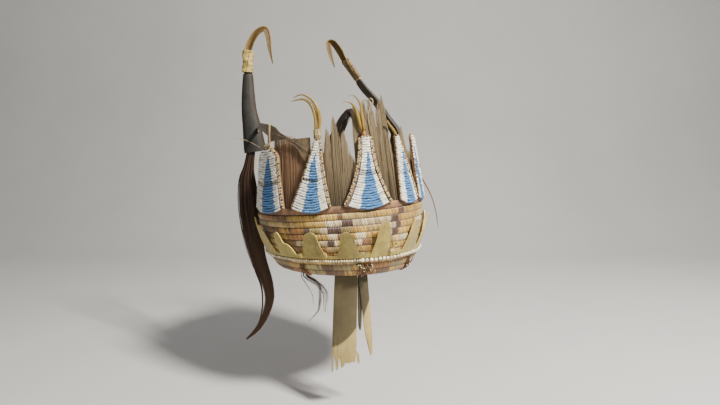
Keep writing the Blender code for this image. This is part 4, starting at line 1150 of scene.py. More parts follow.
def build_strap():
    turn = math.degrees(WEB_STRAP_WIDTH / BAND_RADIUS)
    top = panel_level(WEB_PEAK.high)
    low = panel_level(PANELS[0].height) + GAP

    def point(u, v, face):
        height = top + (low - top) * v
        middle = (panel_radius(height) + hair_radius(height)) / 2
        pinch = 0.9 - 0.15 * math.sin(math.pi * v) + 0.75 * v ** 3 + 0.15 * abs(wobble(v * 9))
        curl = 0.0007 * abs(math.sin(2 * math.pi * u + 2.5 * v))
        radius = middle + WEB_WALL / 2 + GAP + curl + (WEB_WALL * 0.9 if face > 0 else 0)
        return ring_point(WEB_PEAK.azimuth + turn * (u - 0.5) * pinch, radius, height)

    return sheet_piece("web_strap_strip", even(10), even(40), point, pale_hide, ["web_strap"],
                       size=(0.004, 0.03))


def build_loops():
    """Slack loops of the strap's thread at the panel's top."""
    rng = random.Random(5)
    lines = []
    for loop in range(THREAD_LOOPS):
        middle, size = WEB_PEAK.azimuth + rng.uniform(-3.6, 2.2), rng.uniform(0.0016, 0.0030)
        line = []
        for share in even(14):
            turn = 2 * math.pi * share + loop
            height = panel_level(PANELS[0].height) + 0.0012 + size * (1 + math.sin(turn)) * 0.8
            radius = panel_radius(height) + PANEL_WALL + 0.0010 + 0.0006 * math.cos(turn * 2)
            line.append(ring_point(middle + math.degrees(size * math.cos(turn) / BAND_RADIUS), radius, height))
        lines.append((line, 1.0, rng.uniform(0.1, 1.0)))
    strands_piece("strap_thread", lines, thread_strand, LOOP_RADIUS, tip=0.9, sides=6)


def build_thread_end():
    """The long loose end of that thread: one line, whose length is printed."""
    line = [Vector(smooth_at(LOOSE_THREAD, share)) for share in even(30)]
    piece = strands_piece("strap_thread_end", [(line, 1.0, 0.8)], thread_strand, THREAD_WIDTH / 2,
                          tip=1.0, sides=8)
    path = [settle(point) for point in line]
    length = sum((after - before).length for before, after in zip(path, path[1:]))
    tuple(path[0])
    print("thread end:", round(length, 4), "m")


build_loops()
build_thread_end()
print("strap faces:", len(build_strap().data.polygons))

# %% [markdown]
# ## Claws
# Slender curved claws stand in pairs on two panels, each pair held by a small ring, and a broken one stands
# on a third. A claw is a tube swept along a curved line: slim where it is held, full at its middle and fine
# at its tip, with growth lines along it.

# %% Horn-like materials
def horn_material(name, tones, roughness, across, along, strength):
    """Horn and claw: three tones from root to tip, long growth lines, and a soft polish."""
    material, tree = new_material(name)
    place = uv_place(tree)
    root, middle, tip = tones
    tone = ramp(tree, split(tree, place)["Y"], (0.0, root), (0.45, middle), (1.0, tip))
    streak = fibred(tree, place, across, along)
    blotch = mottled(tree, object_place(tree), 95.0, (0.55, 0.52, 0.50), (1.15, 1.12, 1.08))
    lines = ramp(tree, streak["Value"], (0.35, (0.45, 0.42, 0.40)), (0.62, (1.1, 1.1, 1.1)))
    colour = multiply(tree, tone, lines, strength)
    colour = multiply(tree, colour, blotch["Color"], 0.7)
    colour = multiply(tree, colour, stored(tree, "tint"))
    height = plus(tree, streak["Fine"], times(tree, blotch["Value"], 0.4))
    finish_surface(tree, colour, roughness, height, 0.25, 0.0004, Specular_IOR_Level=0.3)
    return material


CLAW_TONES = (0.34, 0.19, 0.032), (0.36, 0.24, 0.046), (0.30, 0.22, 0.10)
claw_horn = horn_material("claw_horn", CLAW_TONES, 0.34, 9.0, 2.0, 0.75)
print("material:", claw_horn.name)

# %% Claw tables
CLAW_LENGTH, CLAW_RADIUS, CLAW_SPREAD, STUMP_RADIUS = 0.052, 0.0023, 0.0012, 0.0019
Claw = namedtuple("Claw", "number depth girth rows")
ClawRow = namedtuple("ClawRow", "side up")
GirthRow = namedtuple("GirthRow", "share girth")
CLAWS = {name: Claw(number, depth, girth, table(ClawRow, rows)) for name, number, depth, girth, rows in (
    ("claw_2_right", 2, 0.4, 0.92, (
        (0.022, 0.008), (0.042, 0.17), (0.076, 0.343), (0.084, 0.486), (0.054, 0.657), (-0.010, 0.80),
        (-0.129, 0.925), (-0.298, 1.00), (-0.487, 0.943))),
    ("claw_2_left", 2, -0.4, 0.92, (
        (-0.022, 0.008), (-0.030, 0.17), (-0.016, 0.343), (-0.012, 0.50), (-0.062, 0.70), (-0.146, 0.829),
        (-0.265, 0.898), (-0.419, 0.895), (-0.535, 0.871))),
    ("claw_3_right", 3, 1, 0.62, (
        (-0.008, 0.008), (-0.016, 0.12), (-0.028, 0.22), (-0.038, 0.36), (-0.048, 0.52), (-0.056, 0.68),
        (-0.104, 0.79), (-0.165, 0.868), (-0.250, 0.912), (-0.354, 0.872))),
    ("claw_3_left", 3, -1, 0.85, (
        (-0.022, 0.008), (-0.046, 0.12), (-0.076, 0.22), (-0.104, 0.36), (-0.138, 0.52), (-0.184, 0.655),
        (-0.253, 0.731), (-0.352, 0.772), (-0.471, 0.770))),
)}
# Slim where it is held, full at its middle and fine at its tip
CLAW_GIRTH = table(GirthRow, (
    (0.00, 0.42), (0.10, 0.60), (0.25, 0.88), (0.40, 1.00), (0.55, 0.88), (0.70, 0.64), (0.85, 0.40),
    (1.00, 0.15)))
STUMP = table(ClawRow, ((0.0, 0.02), (-0.09, 0.13), (-0.17, 0.20), (-0.28, 0.325)))


def panel_top(number):
    panel = PANELS[number - 1]
    height = panel_level(panel.height)
    azimuth = panel.azimuth + math.degrees(panel.shift * PANEL_HALF_WIDTH / BAND_RADIUS)
    return azimuth, panel_radius(height) + PANEL_WALL / 2, height


def full_turn(count):
    return [2 * math.pi * index / count for index in range(count)]


def around(centre, first, second, wide, deep, turn):
    """A point of an oval with these two axes."""
    return centre + first * wide * math.cos(turn) + second * deep * math.sin(turn)


def tube_rings(points, radii, sides, reference):
    """Rings of a round tube through the points. reference is a direction that the tube never runs along."""
    rings = []
    for index, (point, radius) in enumerate(zip(points, radii)):
        along = (points[min(index + 1, len(points) - 1)] - points[max(index - 1, 0)]).normalized()
        first = along.cross(reference).normalized()
        second = along.cross(first)
        rings.append([around(point, first, second, radius, radius, turn) for turn in full_turn(sides)])
    return rings


def claw_line(number, depth, rows, count):
    azimuth, radius, height = panel_top(number)
    base = ring_point(azimuth, radius + depth * CLAW_SPREAD, height + GAP)
    across = outward(azimuth + 90)
    places = [smooth_at(rows, share) for share in even(count)]
    return [base + CLAW_LENGTH * (across * row.side + UP * row.up) for row in places], outward(azimuth)


def claw_thickness(claw, share):
    girths = [interpolate(CLAW_GIRTH, clamp(share + step * 0.03)).girth for step in (-1, 0, 1)]
    return 1.12 * CLAW_RADIUS * claw.girth * (sum(girths) / 3)


print("claws:", list(CLAWS))

# %% Claws and the broken one
for name, claw in CLAWS.items():
    points, out = claw_line(claw.number, claw.depth, claw.rows, 60)
    radii = [claw_thickness(claw, share) for share in even(60)]
    tube_piece(f"{name}_horn", tube_rings(points, radii, 16, out), claw_horn, [name])
points, out = claw_line(4, 0, STUMP, 24)
radii = [STUMP_RADIUS * (1 - 0.42 * share + 0.16 * bell(share, 0.6, 0.12)) for share in even(24)]
tube_piece("broken_claw", tube_rings(points, radii, 14, out), claw_horn, ["claw_stump_4"])
print("claw pieces:", len(CLAWS) + 1)

# %% [markdown]
# ## Wound rings and bindings
# Rings of wound strip hold the claws, and wider windings hold a blade claw on each horn's tip. Each is a
# sleeve whose surface is raised into turns that climb at a slant, because a strip wound round a rod is a
# screw thread. The seam between two turns is a groove in the mesh, so it catches light from the side.

# %% Wound strip material and claw rings
def wound_material(name, dark, light, turns, seam_from=0.36, seam_depth=0.8):
    """A strip wound round a rod: slanting turns with dark seams, and fine threads along the strip."""
    material, tree = new_material(name)
    place = uv_place(tree)
    axes = split(tree, place)
    climb = plus(tree, times(tree, axes["Y"], turns), axes["X"])
    seam = remap(tree, off_middle(tree, math_node(tree, "FRACT", climb)), seam_from, 0.5)
    tone = mottled(tree, object_place(tree), 210.0, dark, light)
    thread = fibred(tree, place, 3.0, 90.0)
    threads = ramp(tree, thread["Value"], (0.3, (0.5, 0.45, 0.4)), (0.6, (1.1, 1.1, 1.1)))
    colour = mix_colour(tree, times(tree, seam, seam_depth), tone["Color"], (0.04, 0.020, 0.009))
    colour = multiply(tree, colour, threads, 0.35)
    colour = multiply(tree, colour, stored(tree, "tint"))
    height = minus(tree, times(tree, thread["Fine"], 0.5), seam)
    finish_surface(tree, colour, 0.6, height, 0.5, 0.0005)
    return material


pale_wrap = wound_material("pale_claw_wrap", (0.30, 0.215, 0.095), (0.50, 0.385, 0.180), 6)
orange_wrap = wound_material("orange_claw_wrap", (0.22, 0.09, 0.025), (0.52, 0.26, 0.08), 4)
RING_WALL, RING_HOLE, LOWEST_REACH = 0.0008, 0.0006, 0.008


def claw_reach(claw, height):
    """Sideways place and thickness of a claw at a height, given as a share of CLAW_LENGTH."""
    for share in even(100):
        row = smooth_at(claw.rows, share)
        if row.up >= height:
            break
    return CLAW_LENGTH * row.side, claw_thickness(claw, share)


def build_claw_ring(number, up, flare, material, turns):
    """A sleeve of wound strip that hugs both claws of a pair and widens at its foot."""
    azimuth, radius, height = panel_top(number)
    across, out = outward(azimuth + 90), outward(azimuth)
    pair = [claw for claw in CLAWS.values() if claw.number == number]

    def level(share):
        reaches = [claw_reach(claw, max(up * share, LOWEST_REACH)) for claw in pair]
        left = min(side - thick for side, thick in reaches)
        right = max(side + thick for side, thick in reaches)
        deep = CLAW_SPREAD * max(abs(claw.depth) for claw in pair) + max(thick for _, thick in reaches)
        widen = 1 + (flare - 1) * (1 - share) ** 1.5
        middle = ring_point(azimuth, radius, height + GAP + CLAW_LENGTH * up * share)
        half = (right - left) / 2 + RING_HOLE * 0.5
        return middle + across * (left + right) / 2, half * widen, (deep + RING_HOLE * 0.5) * widen

    sides, steps = 36, 8 * turns
    rings = []
    for index, turn in enumerate(full_turn(sides)):
        outer, inner = [], []
        for step in even(steps):
            centre, wide, deep = level(step)
            thread = abs(math.sin(math.pi * (step * turns + index / sides))) ** 0.6
            ridge = RING_WALL * (0.7 + 0.35 * thread + 0.15 * wobble(turn * 2, step * 5))
            inner.append(around(centre, across, out, wide, deep, turn))
            outer.append(around(centre, across, out, wide + ridge, deep + ridge, turn))
        rings.append(inner + outer[::-1])

    def tint(column, row):
        share = 1 - (row - steps) / steps
        worn = number == 2 and share < 0.4 and (column * 3 + row) % 11 < 8
        return (0.45, 0.36, 0.27, 1) if worn else (1, 1, 1, 1)

    tube_piece(f"claw_ring_{number}", rings, material, [f"claw_collar_{number}"], closed=True,
               tint_of=tint)


build_claw_ring(2, 0.22, 1.5, pale_wrap, 5)
build_claw_ring(3, 0.10, 1.25, orange_wrap, 3)
print("claw rings: 2")

# %% [markdown]
# ## Horns and blade claws
# The two horns are flat and split lengthwise, so their section is a channel. Each carries a channelled
# blade claw at its tip, hooked like a beak. Both follow one table: a row gives the height, the sideways
# reach, the width and the side that the channel opens on, and a smooth curve runs through the rows.

# %% Horn tables
HORN_RISE, HORN_DEPTH, HORN_WALL, HORN_SKIRT = 0.155, 0.27, 0.0030, 0.008
BLADE_WALL, BINDING_WALL, LEFT_TURNS, RIGHT_TURNS = 0.0016, 0.0016, 5, 8
JOIN_GAP, SLEEVE_WIDE, SLEEVE_DEEP, HOOK_AZIMUTH = 0.012, 1.25, 1.67, 164.0
HornRow = namedtuple("HornRow", "up inward forward width turn")
LEFT_HORN = table(HornRow, (
    (0.000, 0.018, 0.000, 1.00, 90), (0.174, 0.010, 0.000, 0.84, 90), (0.310, 0.000, 0.000, 0.70, 90),
    (0.477, 0.006, 0.000, 0.58, 90), (0.630, 0.019, -0.002, 0.45, 90), (0.655, 0.021, -0.002, 0.32, 90),
    (0.748, 0.032, -0.004, 0.30, 90), (0.845, 0.045, -0.006, 0.31, 90), (0.923, 0.083, -0.011, 0.38, 62),
    (0.994, 0.141, -0.018, 0.36, 56), (1.016, 0.205, -0.027, 0.30, 52), (0.942, 0.226, -0.029, 0.25, 50),
    (0.839, 0.231, -0.029, 0.17, 50), (0.716, 0.248, -0.031, 0.04, 50)))
RIGHT_HORN = table(HornRow, (
    (-0.110, -0.034, 0.000, 1.04, 24), (0.000, -0.020, 0.000, 1.00, 20), (0.116, -0.025, 0.010, 0.90, 20),
    (0.252, 0.046, -0.025, 0.76, 20), (0.342, 0.099, -0.039, 0.66, 20), (0.432, 0.161, -0.052, 0.58, 22),
    (0.529, 0.244, -0.080, 0.52, 26), (0.600, 0.297, -0.091, 0.45, 30), (0.620, 0.312, -0.094, 0.32, 32),
    (0.703, 0.373, -0.101, 0.30, 36), (0.794, 0.435, -0.113, 0.31, 44), (0.871, 0.479, -0.115, 0.34, 50),
    (0.942, 0.536, -0.124, 0.30, 52), (0.929, 0.594, -0.124, 0.27, 52), (0.813, 0.600, -0.092, 0.20, 50),
    (0.710, 0.592, -0.056, 0.04, 50)))
Horn = namedtuple("Horn", "side azimuth out up rows neck join cuff hook blade_flip")
HORNS = (Horn("left", -113.2, 1.0712, 0.9442, LEFT_HORN, 5, 6, 7, 1, -1),
         Horn("right", 109.7, 0.9423, 0.8279, RIGHT_HORN, 8, 9, 10, -1, 1))


def horn_base(horn):
    return ring_point(horn.azimuth, BAND_RADIUS * horn.out, BAND_TOP + PANEL_HEIGHT * horn.up)


def horn_samples(horn, start, end, count):
    """Point, direction, wide axis, opening side and width at places between two rows of the horn's table."""
    inward, forward = -outward(horn.azimuth), outward(horn.azimuth + 90 * horn.hook)
    hook_axis = outward(HOOK_AZIMUTH) * horn.hook
    base = horn_base(horn)

    def spot(place):
        row = smooth_row(horn.rows, place)
        return base + HORN_RISE * (inward * row.inward + forward * row.forward + UP * row.up)

    samples = []
    for share in even(count):
        place = start + (end - start) * share
        row = smooth_row(horn.rows, place)
        along = (spot(min(place + 0.02, len(horn.rows) - 1)) - spot(max(place - 0.02, 0))).normalized()
        inside = hook_axis.cross(along).normalized()
        over = along.cross(inside)
        turn = math.radians(row.turn)
        opening = inside * math.cos(turn) + over * math.sin(turn)
        samples.append((spot(place), along, along.cross(opening), opening, HORN_WIDTH * row.width))
    return samples


print("horn rows:", len(LEFT_HORN), len(RIGHT_HORN))


# %% Channel sections
def channel_depth(width, wall):
    return width * HORN_DEPTH + wall * 0.5


def channel_rings(samples, wall, flip=1, sides=18):
    """C-shaped sections with rounded lips, open toward the sample's opening side."""
    rings = []
    for index, (point, _, wide, opening, width) in enumerate(samples):
        half = width / 2
        depth = channel_depth(width, wall)
        thick = min(wall, half * 0.5)
        toward = opening * flip
        centre = point + toward * depth / 2
        outer, inner = [], []
        for step, share in enumerate(even(sides)):
            turn = math.pi + math.pi * share
            ridge = 0.00018 * math.sin(step * 2.4 + 0.3 * math.sin(index * 0.2)) * min(half / 0.01, 1)
            outer.append(around(centre, wide, toward, half - ridge, depth - ridge, turn))
            inner.append(around(centre, wide, toward, half - thick, depth - thick, turn))
        lips = [(outer[end] + inner[end]) / 2 + toward * thick * 0.22 for end in (-1, 0)]
        rings.append([*outer, lips[0], *inner[::-1], lips[1]])
    return rings


# %% Horns and blades
HORN_TONES = (0.034, 0.034, 0.030), (0.050, 0.050, 0.045), (0.042, 0.040, 0.034)
BLADE_TONES = (0.30, 0.205, 0.058), (0.180, 0.122, 0.036), (0.135, 0.092, 0.030)
horn_grey = horn_material("horn_grey", HORN_TONES, 0.55, 60.0, 2.5, 0.6)
blade_horn = horn_material("blade_claw", BLADE_TONES, 0.66, 14.0, 2.0, 0.6)


def left_tint(column, row):
    if row < 5:
        return (1.0, 0.74, 0.60, 1)
    return (0.7, 0.54, 0.48, 1) if row > 20 else (0.72, 0.71, 0.68, 1)


# Painted light: the right horn is painted paler, and its inner channel, which lies in shade, far paler.
def right_horn_painted_light(column, row):
    return (2.2, 2.0, 1.65, 1) if row > 20 else (1.3, 1.22, 1.08, 1)


def blade_light_and_shade(column, row):
    """Painted light and shade: the lips are painted pale, as lit, and the hollow between them dark, as shade.
    """
    if row in (0, 18, 19, 37, 38):
        return (1.35, 1.3, 1.15, 1)
    return (0.55, 0.48, 0.40, 1) if row > 19 else (1, 1, 1, 1)


for horn, horn_tint in zip(HORNS, (left_tint, right_horn_painted_light)):
    body = horn_samples(horn, 0, horn.join - JOIN_GAP, 90)
    if horn.side == "left":
        # The foot reaches a little over the root of the tail, which hangs from inside it
        point, along, *rest = body[0]
        body.insert(0, (point - along * HORN_SKIRT, along, *rest))
    blade = horn_samples(horn, horn.join + JOIN_GAP, len(horn.rows) - 1, 110)
    tube_piece(f"horn_{horn.side}_channel", channel_rings(body, HORN_WALL), horn_grey,
               [f"horn_{horn.side}"], tint_of=horn_tint)
    tube_piece(f"blade_{horn.side}_claw", channel_rings(blade, BLADE_WALL, horn.blade_flip), blade_horn,
               [f"blade_{horn.side}"], tint_of=blade_light_and_shade)
print("horns and blades: 4")

# %% Horn bindings
left_wrap = wound_material("pale_horn_wrap", (0.26, 0.17, 0.040), (0.54, 0.405, 0.110), LEFT_TURNS)
right_wrap = wound_material("brown_horn_wrap", (0.080, 0.050, 0.016), (0.33, 0.22, 0.075), RIGHT_TURNS,
                            0.22, 0.95)


def build_binding(horn, turns, material):
    steps, sides = 90, 40
    sleeve = horn_samples(horn, horn.neck, horn.cuff, steps)
    rings = []
    for side, turn in enumerate(full_turn(sides)):
        outer, inner = [], []
        for index, (point, _, wide, opening, width) in enumerate(sleeve):
            across = width / 2 * SLEEVE_WIDE + GAP
            deep = channel_depth(width, HORN_WALL) / 2 * SLEEVE_DEEP + GAP
            share = index / steps
            thread = abs(math.sin(math.pi * (share * turns + side / sides))) ** 0.5
            crossed = abs(math.sin(math.pi * (share * 1.6 - 2 * side / sides + 0.2))) ** 5
            raised = 0.25 + 0.45 * thread + 0.65 * crossed * (horn.side == "left")
            ridge = BINDING_WALL * (raised + 0.15 * wobble(turn, share * 8))
            ridge *= min(0.55 + min(share, 1 - share) * 12, 1)
            inner.append(around(point, wide, opening, across, deep, turn))
            outer.append(around(point, wide, opening, across + ridge, deep + ridge, turn))
        rings.append(outer + inner[::-1])

    def tint(column, row):
        pale_end = horn.side == "right" and row < 0.07 * steps
        return (3.2, 3.6, 5.0, 1) if pale_end else (1, 1, 1, 1)

    piece = tube_piece(f"horn_wrap_{horn.side}", rings, material, [f"horn_binding_{horn.side}"],
                       closed=True, tint_of=tint)
    return len(piece.data.polygons)


wraps = zip(HORNS, (LEFT_TURNS, RIGHT_TURNS), (left_wrap, right_wrap))
print("binding faces:", [build_binding(*wrap) for wrap in wraps])

# %% [markdown]
# ## The string of beads
# A string of short white beads runs round the cap, under the collar's lower edge. The beads at the front's
# left are small and close, those at its right are larger and spaced by knots, and all are a little uneven,
# as hand-made beads are. They are seen one by one, so the tree that sets beads is made once more, with a
# cylinder whose rims are round.

# %% Bead string
STRING_BEAD_RADIUS, BEAD_LINE = 0.0022, 0.0215
STRING_RADIUS = bowl_radius(BEAD_LINE) + GAP + STRING_BEAD_RADIUS
STRING_START, STRING_END = -66.0 + 1e-3, 293.4
THREAD_RADIUS, THREAD_STEPS = 0.0009, 180
# Beads are small and close at the left, and larger and spaced by knots at the right: end azimuth, pitch, size
STRINGING = ((-2.0, 0.0031, 0.0024), (70.0, 0.0055, 0.0041), (294.0, 0.0042, 0.0037))
round_beads = bead_tree("round beads on points", rounded=True)
cord_dark = hide_material("dark_cord", (0.030, 0.015, 0.010), (0.12, 0.06, 0.035), 0.8, 300.0)


def build_string():
    rng = random.Random(31)
    beads = []
    azimuth = STRING_START
    while azimuth < STRING_END:
        pitch, size = next((pitch, size) for end, pitch, size in STRINGING if azimuth < end)
        height = BEAD_LINE + rng.uniform(-0.0003, 0.0003)
        point = settle(ring_point(azimuth, STRING_RADIUS + rng.uniform(-0.0002, 0.0002), height))
        ahead = settle(ring_point(azimuth + 1, STRING_RADIUS, height + rng.uniform(-0.0002, 0.0002)))
        shade = rng.uniform(0.62, 1.14)
        tint = (0.86 * shade, 0.76 * shade, 0.52 * shade, 1)
        size *= rng.uniform(0.90, 1.06) / (2 * STRING_BEAD_RADIUS)
        beads.append((point, (ahead - point).normalized(), tint, size))
        azimuth += math.degrees(pitch / STRING_RADIUS) * rng.uniform(0.94, 1.06)
    beads_piece("white_bead_string", beads, round_beads, ["bead_string"], Width=0.0052, Length=0.0050,
                Sides=8)
    return len(beads)


def build_thread():
    rings = []
    for share in even(THREAD_STEPS)[:-1]:
        middle = ring_point(360 * share, STRING_RADIUS, BEAD_LINE)
        out = outward(360 * share)
        rings.append([around(middle, out, UP, THREAD_RADIUS, THREAD_RADIUS, turn) for turn in full_turn(6)])
    tube_piece("bead_thread", rings, cord_dark, closed=True)


print("beads on the string:", build_string())
build_thread()

# %% [markdown]
# ## The leaf collar
# The collar is one strip of yellow-ochre hide. Its upper edge was cut into rounded leaves, which have
# curled outward as the hide dried, and the cut edges show paler than the face. Some leaves are notched
# or lean to one side, and small scraps of the edge are rolled into scrolls.

# %% Leaf rules
COLLAR_WALL, COLLAR_BAND, LEAF_HEIGHT, LEAF_HALF_WIDTH = 0.0016, 0.004, 0.036, 0.0165
LEAF_FLARE, FLARE_POWER, PLAIN_LEAVES, PLAIN_FLARE = 0.010, 1.2, 9, 0.35
Leaf = namedtuple("Leaf", "azimuth height width flare")
LEAVES = list(table(Leaf, (
    (-95.0, 1.22, 0.98, 0.25), (-75.0, 1.02, 1.00, 0.60), (-53.2, 0.84, 0.80, 0.60), (-33.0, 0.86, 0.90, 1.00),
    (-10.5, 0.83, 0.82, 1.10), (11.0, 1.07, 0.78, 1.00), (38.0, 0.94, 0.95, 0.60), (57.5, 1.02, 0.90, 0.90))))
last_seen = LEAVES[-1].azimuth
span = 360 + LEAVES[0].azimuth - last_seen
for index in range(PLAIN_LEAVES):
    LEAVES.append(Leaf(last_seen + span * (index + 1) / (PLAIN_LEAVES + 1), 1, 0.95, PLAIN_FLARE))
# The third leaf has a round head at its left and a low shoulder at its right
LOBED_LEAF = 2
LobeRow = namedtuple("LobeRow", "offset rise")
LOBES = [LobeRow(offset + index * 1e-5, rise) for index, (offset, rise) in enumerate((
    (-1.0, 0.0), (-0.9, 0.30), (-0.80, 0.62), (-0.74, 0.80), (-0.63, 0.94), (-0.44, 1.0), (-0.26, 0.94),
    (-0.15, 0.80), (-0.10, 0.66), (-0.10, 0.56), (0.02, 0.505), (0.2, 0.49), (0.4, 0.45), (0.6, 0.375),
    (0.78, 0.26), (0.92, 0.12), (1.0, 0.0)))]


def leaf_share(offset):
    """How high a leaf is at this distance from its middle line, as a share: hollow flanks and a round top."""
    low, high = 0.0, 1.0
    for _ in range(20):
        middle = (low + high) / 2
        half = (0.48 + 0.52 * (1 - middle) ** 2) * math.sqrt(1 - middle ** 8)
        low, high = (middle, high) if half > abs(offset) else (low, middle)
    return low


# Small notches of the cut edge, as (offset, depth share, width)
NOTCHES = {1: (0.35, 0.10, 0.10), 4: (0.42, 0.10, 0.06), 7: (-0.35, 0.12, 0.12)}
# Leaves painted darker or paler than the rest: painted shade and painted light, as the light falls from the
# right
LEAF_LIGHT_AND_SHADE = {3: 0.9, 4: 0.80, 5: 1.15}
# Degrees by which a leaf's tip leans to one side
LEAF_LEANS = {3: 1.8, 4: -2.0, 6: 1.5}
print("leaves:", len(LEAVES))

# %% Leaf collar mesh
ochre_hide = hide_material("ochre_hide", (0.240, 0.172, 0.030), (0.43, 0.33, 0.062), 0.50, 45.0, 0.25)


def leaf_reach(leaf, foot):
    """Degrees from a leaf's middle line to its side."""
    return math.degrees(LEAF_HALF_WIDTH * leaf.width / bowl_radius(foot))


def collar_columns(foot):
    """Each column of the collar as (azimuth, rise, flare, offset from the leaf's middle line, leaf number)."""
    columns = []
    for number, leaf in enumerate(LEAVES):
        turn = leaf_reach(leaf, foot)
        for step in range(41):
            offset = -1 + step / 20
            share = interpolate(LOBES, offset).rise if number == LOBED_LEAF else leaf_share(offset)
            rise = LEAF_HEIGHT * leaf.height * share
            if number in NOTCHES:
                place, depth, width = NOTCHES[number]
                rise *= 1 - depth * bell(offset, place, width)
            rise *= 1 + 0.012 * wobble(offset * 5 + number)
            columns.append((leaf.azimuth + turn * offset, rise, leaf.flare, offset, number))
        following = LEAVES[(number + 1) % len(LEAVES)]
        gap = (following.azimuth - leaf_reach(following, foot) - leaf.azimuth - turn) % 360
        parts = max(int(gap / 0.8), 1)
        for part in range(1, parts):
            columns.append((leaf.azimuth + turn + gap * part / parts, 0, leaf.flare, 1.0, number))
    return columns


def build_collar():
    foot = BEAD_LINE + STRING_BEAD_RADIUS + GAP
    columns = collar_columns(foot)
    rows = [1 - (1 - share) ** 1.25 for share in even(16)]

    def point(column, v, face):
        azimuth, rise, flare, offset, number = columns[column]
        height = foot + (COLLAR_BAND + rise) * v
        out = LEAF_FLARE * flare * (max(rise, 0) * v / LEAF_HEIGHT) ** FLARE_POWER
        cup = 0.0011 * offset ** 2 * min(rise * v / LEAF_HEIGHT * 2, 1)
        curl = 0.0006 * wobble(offset * 2 + number, v * 3) * v
        thin = COLLAR_WALL * (1 - 0.1 * v)
        radius = bowl_radius(height) + 2 * GAP + out + cup + max(curl, -out) + (thin if face > 0 else 0)
        return ring_point(azimuth + LEAF_LEANS.get(number, 0) * (rise * v / LEAF_HEIGHT) ** 2, radius, height)

    def tint(column, row):
        # worn carries the leaves' painted light and shade as well as their uneven tone.
        worn = (0.88 + 0.16 * wobble(column * 0.13, row * 0.5)) * LEAF_LIGHT_AND_SHADE.get(columns[column][4], 1)
        if row < len(rows) - 2:
            return (worn, worn, worn, 1)
        return (worn * 1.5, worn * 1.5, worn * 1.5 * 1.15, 1)

    def uv_of(column, row):
        return (column / 40, rows[min(row, len(rows) - 1)])

    shape = bmesh.new()
    grids = {}
    for face in (1, -1):
        grids[face] = [[shape.verts.new(settle(point(column, v, face))) for v in rows]
                       for column in range(len(columns))]
    for face in (1, -1):
        fill_grid(shape, grids[face], uv_of, tint, wrap_columns=True)
    for row in (0, len(rows) - 1):
        edge = [[grids[face][column][row] for face in (1, -1)] for column in range(len(columns))]
        fill_grid(shape, edge, lambda c, r, row=row: uv_of(c, row), lambda c, r: (1.9, 1.9, 2.4, 1),
                  wrap_columns=True)
    return add_piece("leaf_collar_hide", shape, ochre_hide, ["leaf_collar"])


Scroll = namedtuple("Scroll", "azimuth height radius turns length lean")
# Scraps of the cut edge that dried into small scrolls, seen from their ends
SCROLLS = table(Scroll, (
    (18.8, 0.0380, 0.0030, 1.5, 0.0045, 0.2), (-40.8, 0.0288, 0.0019, 1.3, 0.006, 1.2),
    (-24.7, 0.0300, 0.0018, 1.3, 0.006, 1.0)))


def build_scroll(number, scroll):
    out, side = outward(scroll.azimuth), outward(scroll.azimuth + 90)
    base = ring_point(scroll.azimuth, bowl_radius(scroll.height) + 0.0040 + scroll.radius, scroll.height)
    axis = (out * math.cos(scroll.lean) + UP * math.sin(scroll.lean)).normalized()
    up = side.cross(axis)

    def point(u, v, face):
        turn = 2 * math.pi * scroll.turns * u + 0.8 * number
        reach = scroll.radius * (0.45 + 0.55 * u) + face * 0.0004
        return around(base + axis * scroll.length * (v - 0.5), side, up, reach, reach, turn)

    sheet_piece(f"collar_scroll_{number}", even(30), even(5), point, ochre_hide)


for number, scroll in enumerate(SCROLLS, 1):
    build_scroll(number, scroll)
print("collar faces:", len(build_collar().data.polygons))

# %% [markdown]
# ## Rim lashings
# Dark cord is wound over the rim in three places. Each lashing is a fan of turns that meet under the rim
# and go up inside it, with slack crossings and loops on the seen side, and two of them carry a few small
# beads. Only the middle lines are drawn here, and the strand tree sweeps the cord along them. The turns are
# tight, so none of it is free.

# %% Lashings
TIE_WALL, TIE_DROP, TIE_TUCK, RING_SIDES = 0.0014, 0.134, 0.010, 32
TIE_RADIUS = (RIM_RADIUS - CAP_WALL) * math.cos(math.pi / RING_SIDES) - GAP
CORD_TURNS, CORD_RADIUS = 6, 0.00078
Lashing = namedtuple("Lashing", "number azimuth spread top crossings loops beads")
LASHINGS = table(Lashing, (
    (1, -44.0, 0.0070, 0.0140, 2, 1, 0), (2, -1.0, 0.0150, 0.0165, 5, 2, 9),
    (3, 42.0, 0.0080, 0.0140, 2, 1, 6)))
cord_strand = hair_material("cord_strand", (0.035, 0.018, 0.010), (0.26, 0.14, 0.065), (0.15, 0.08, 0.04), 0.7)


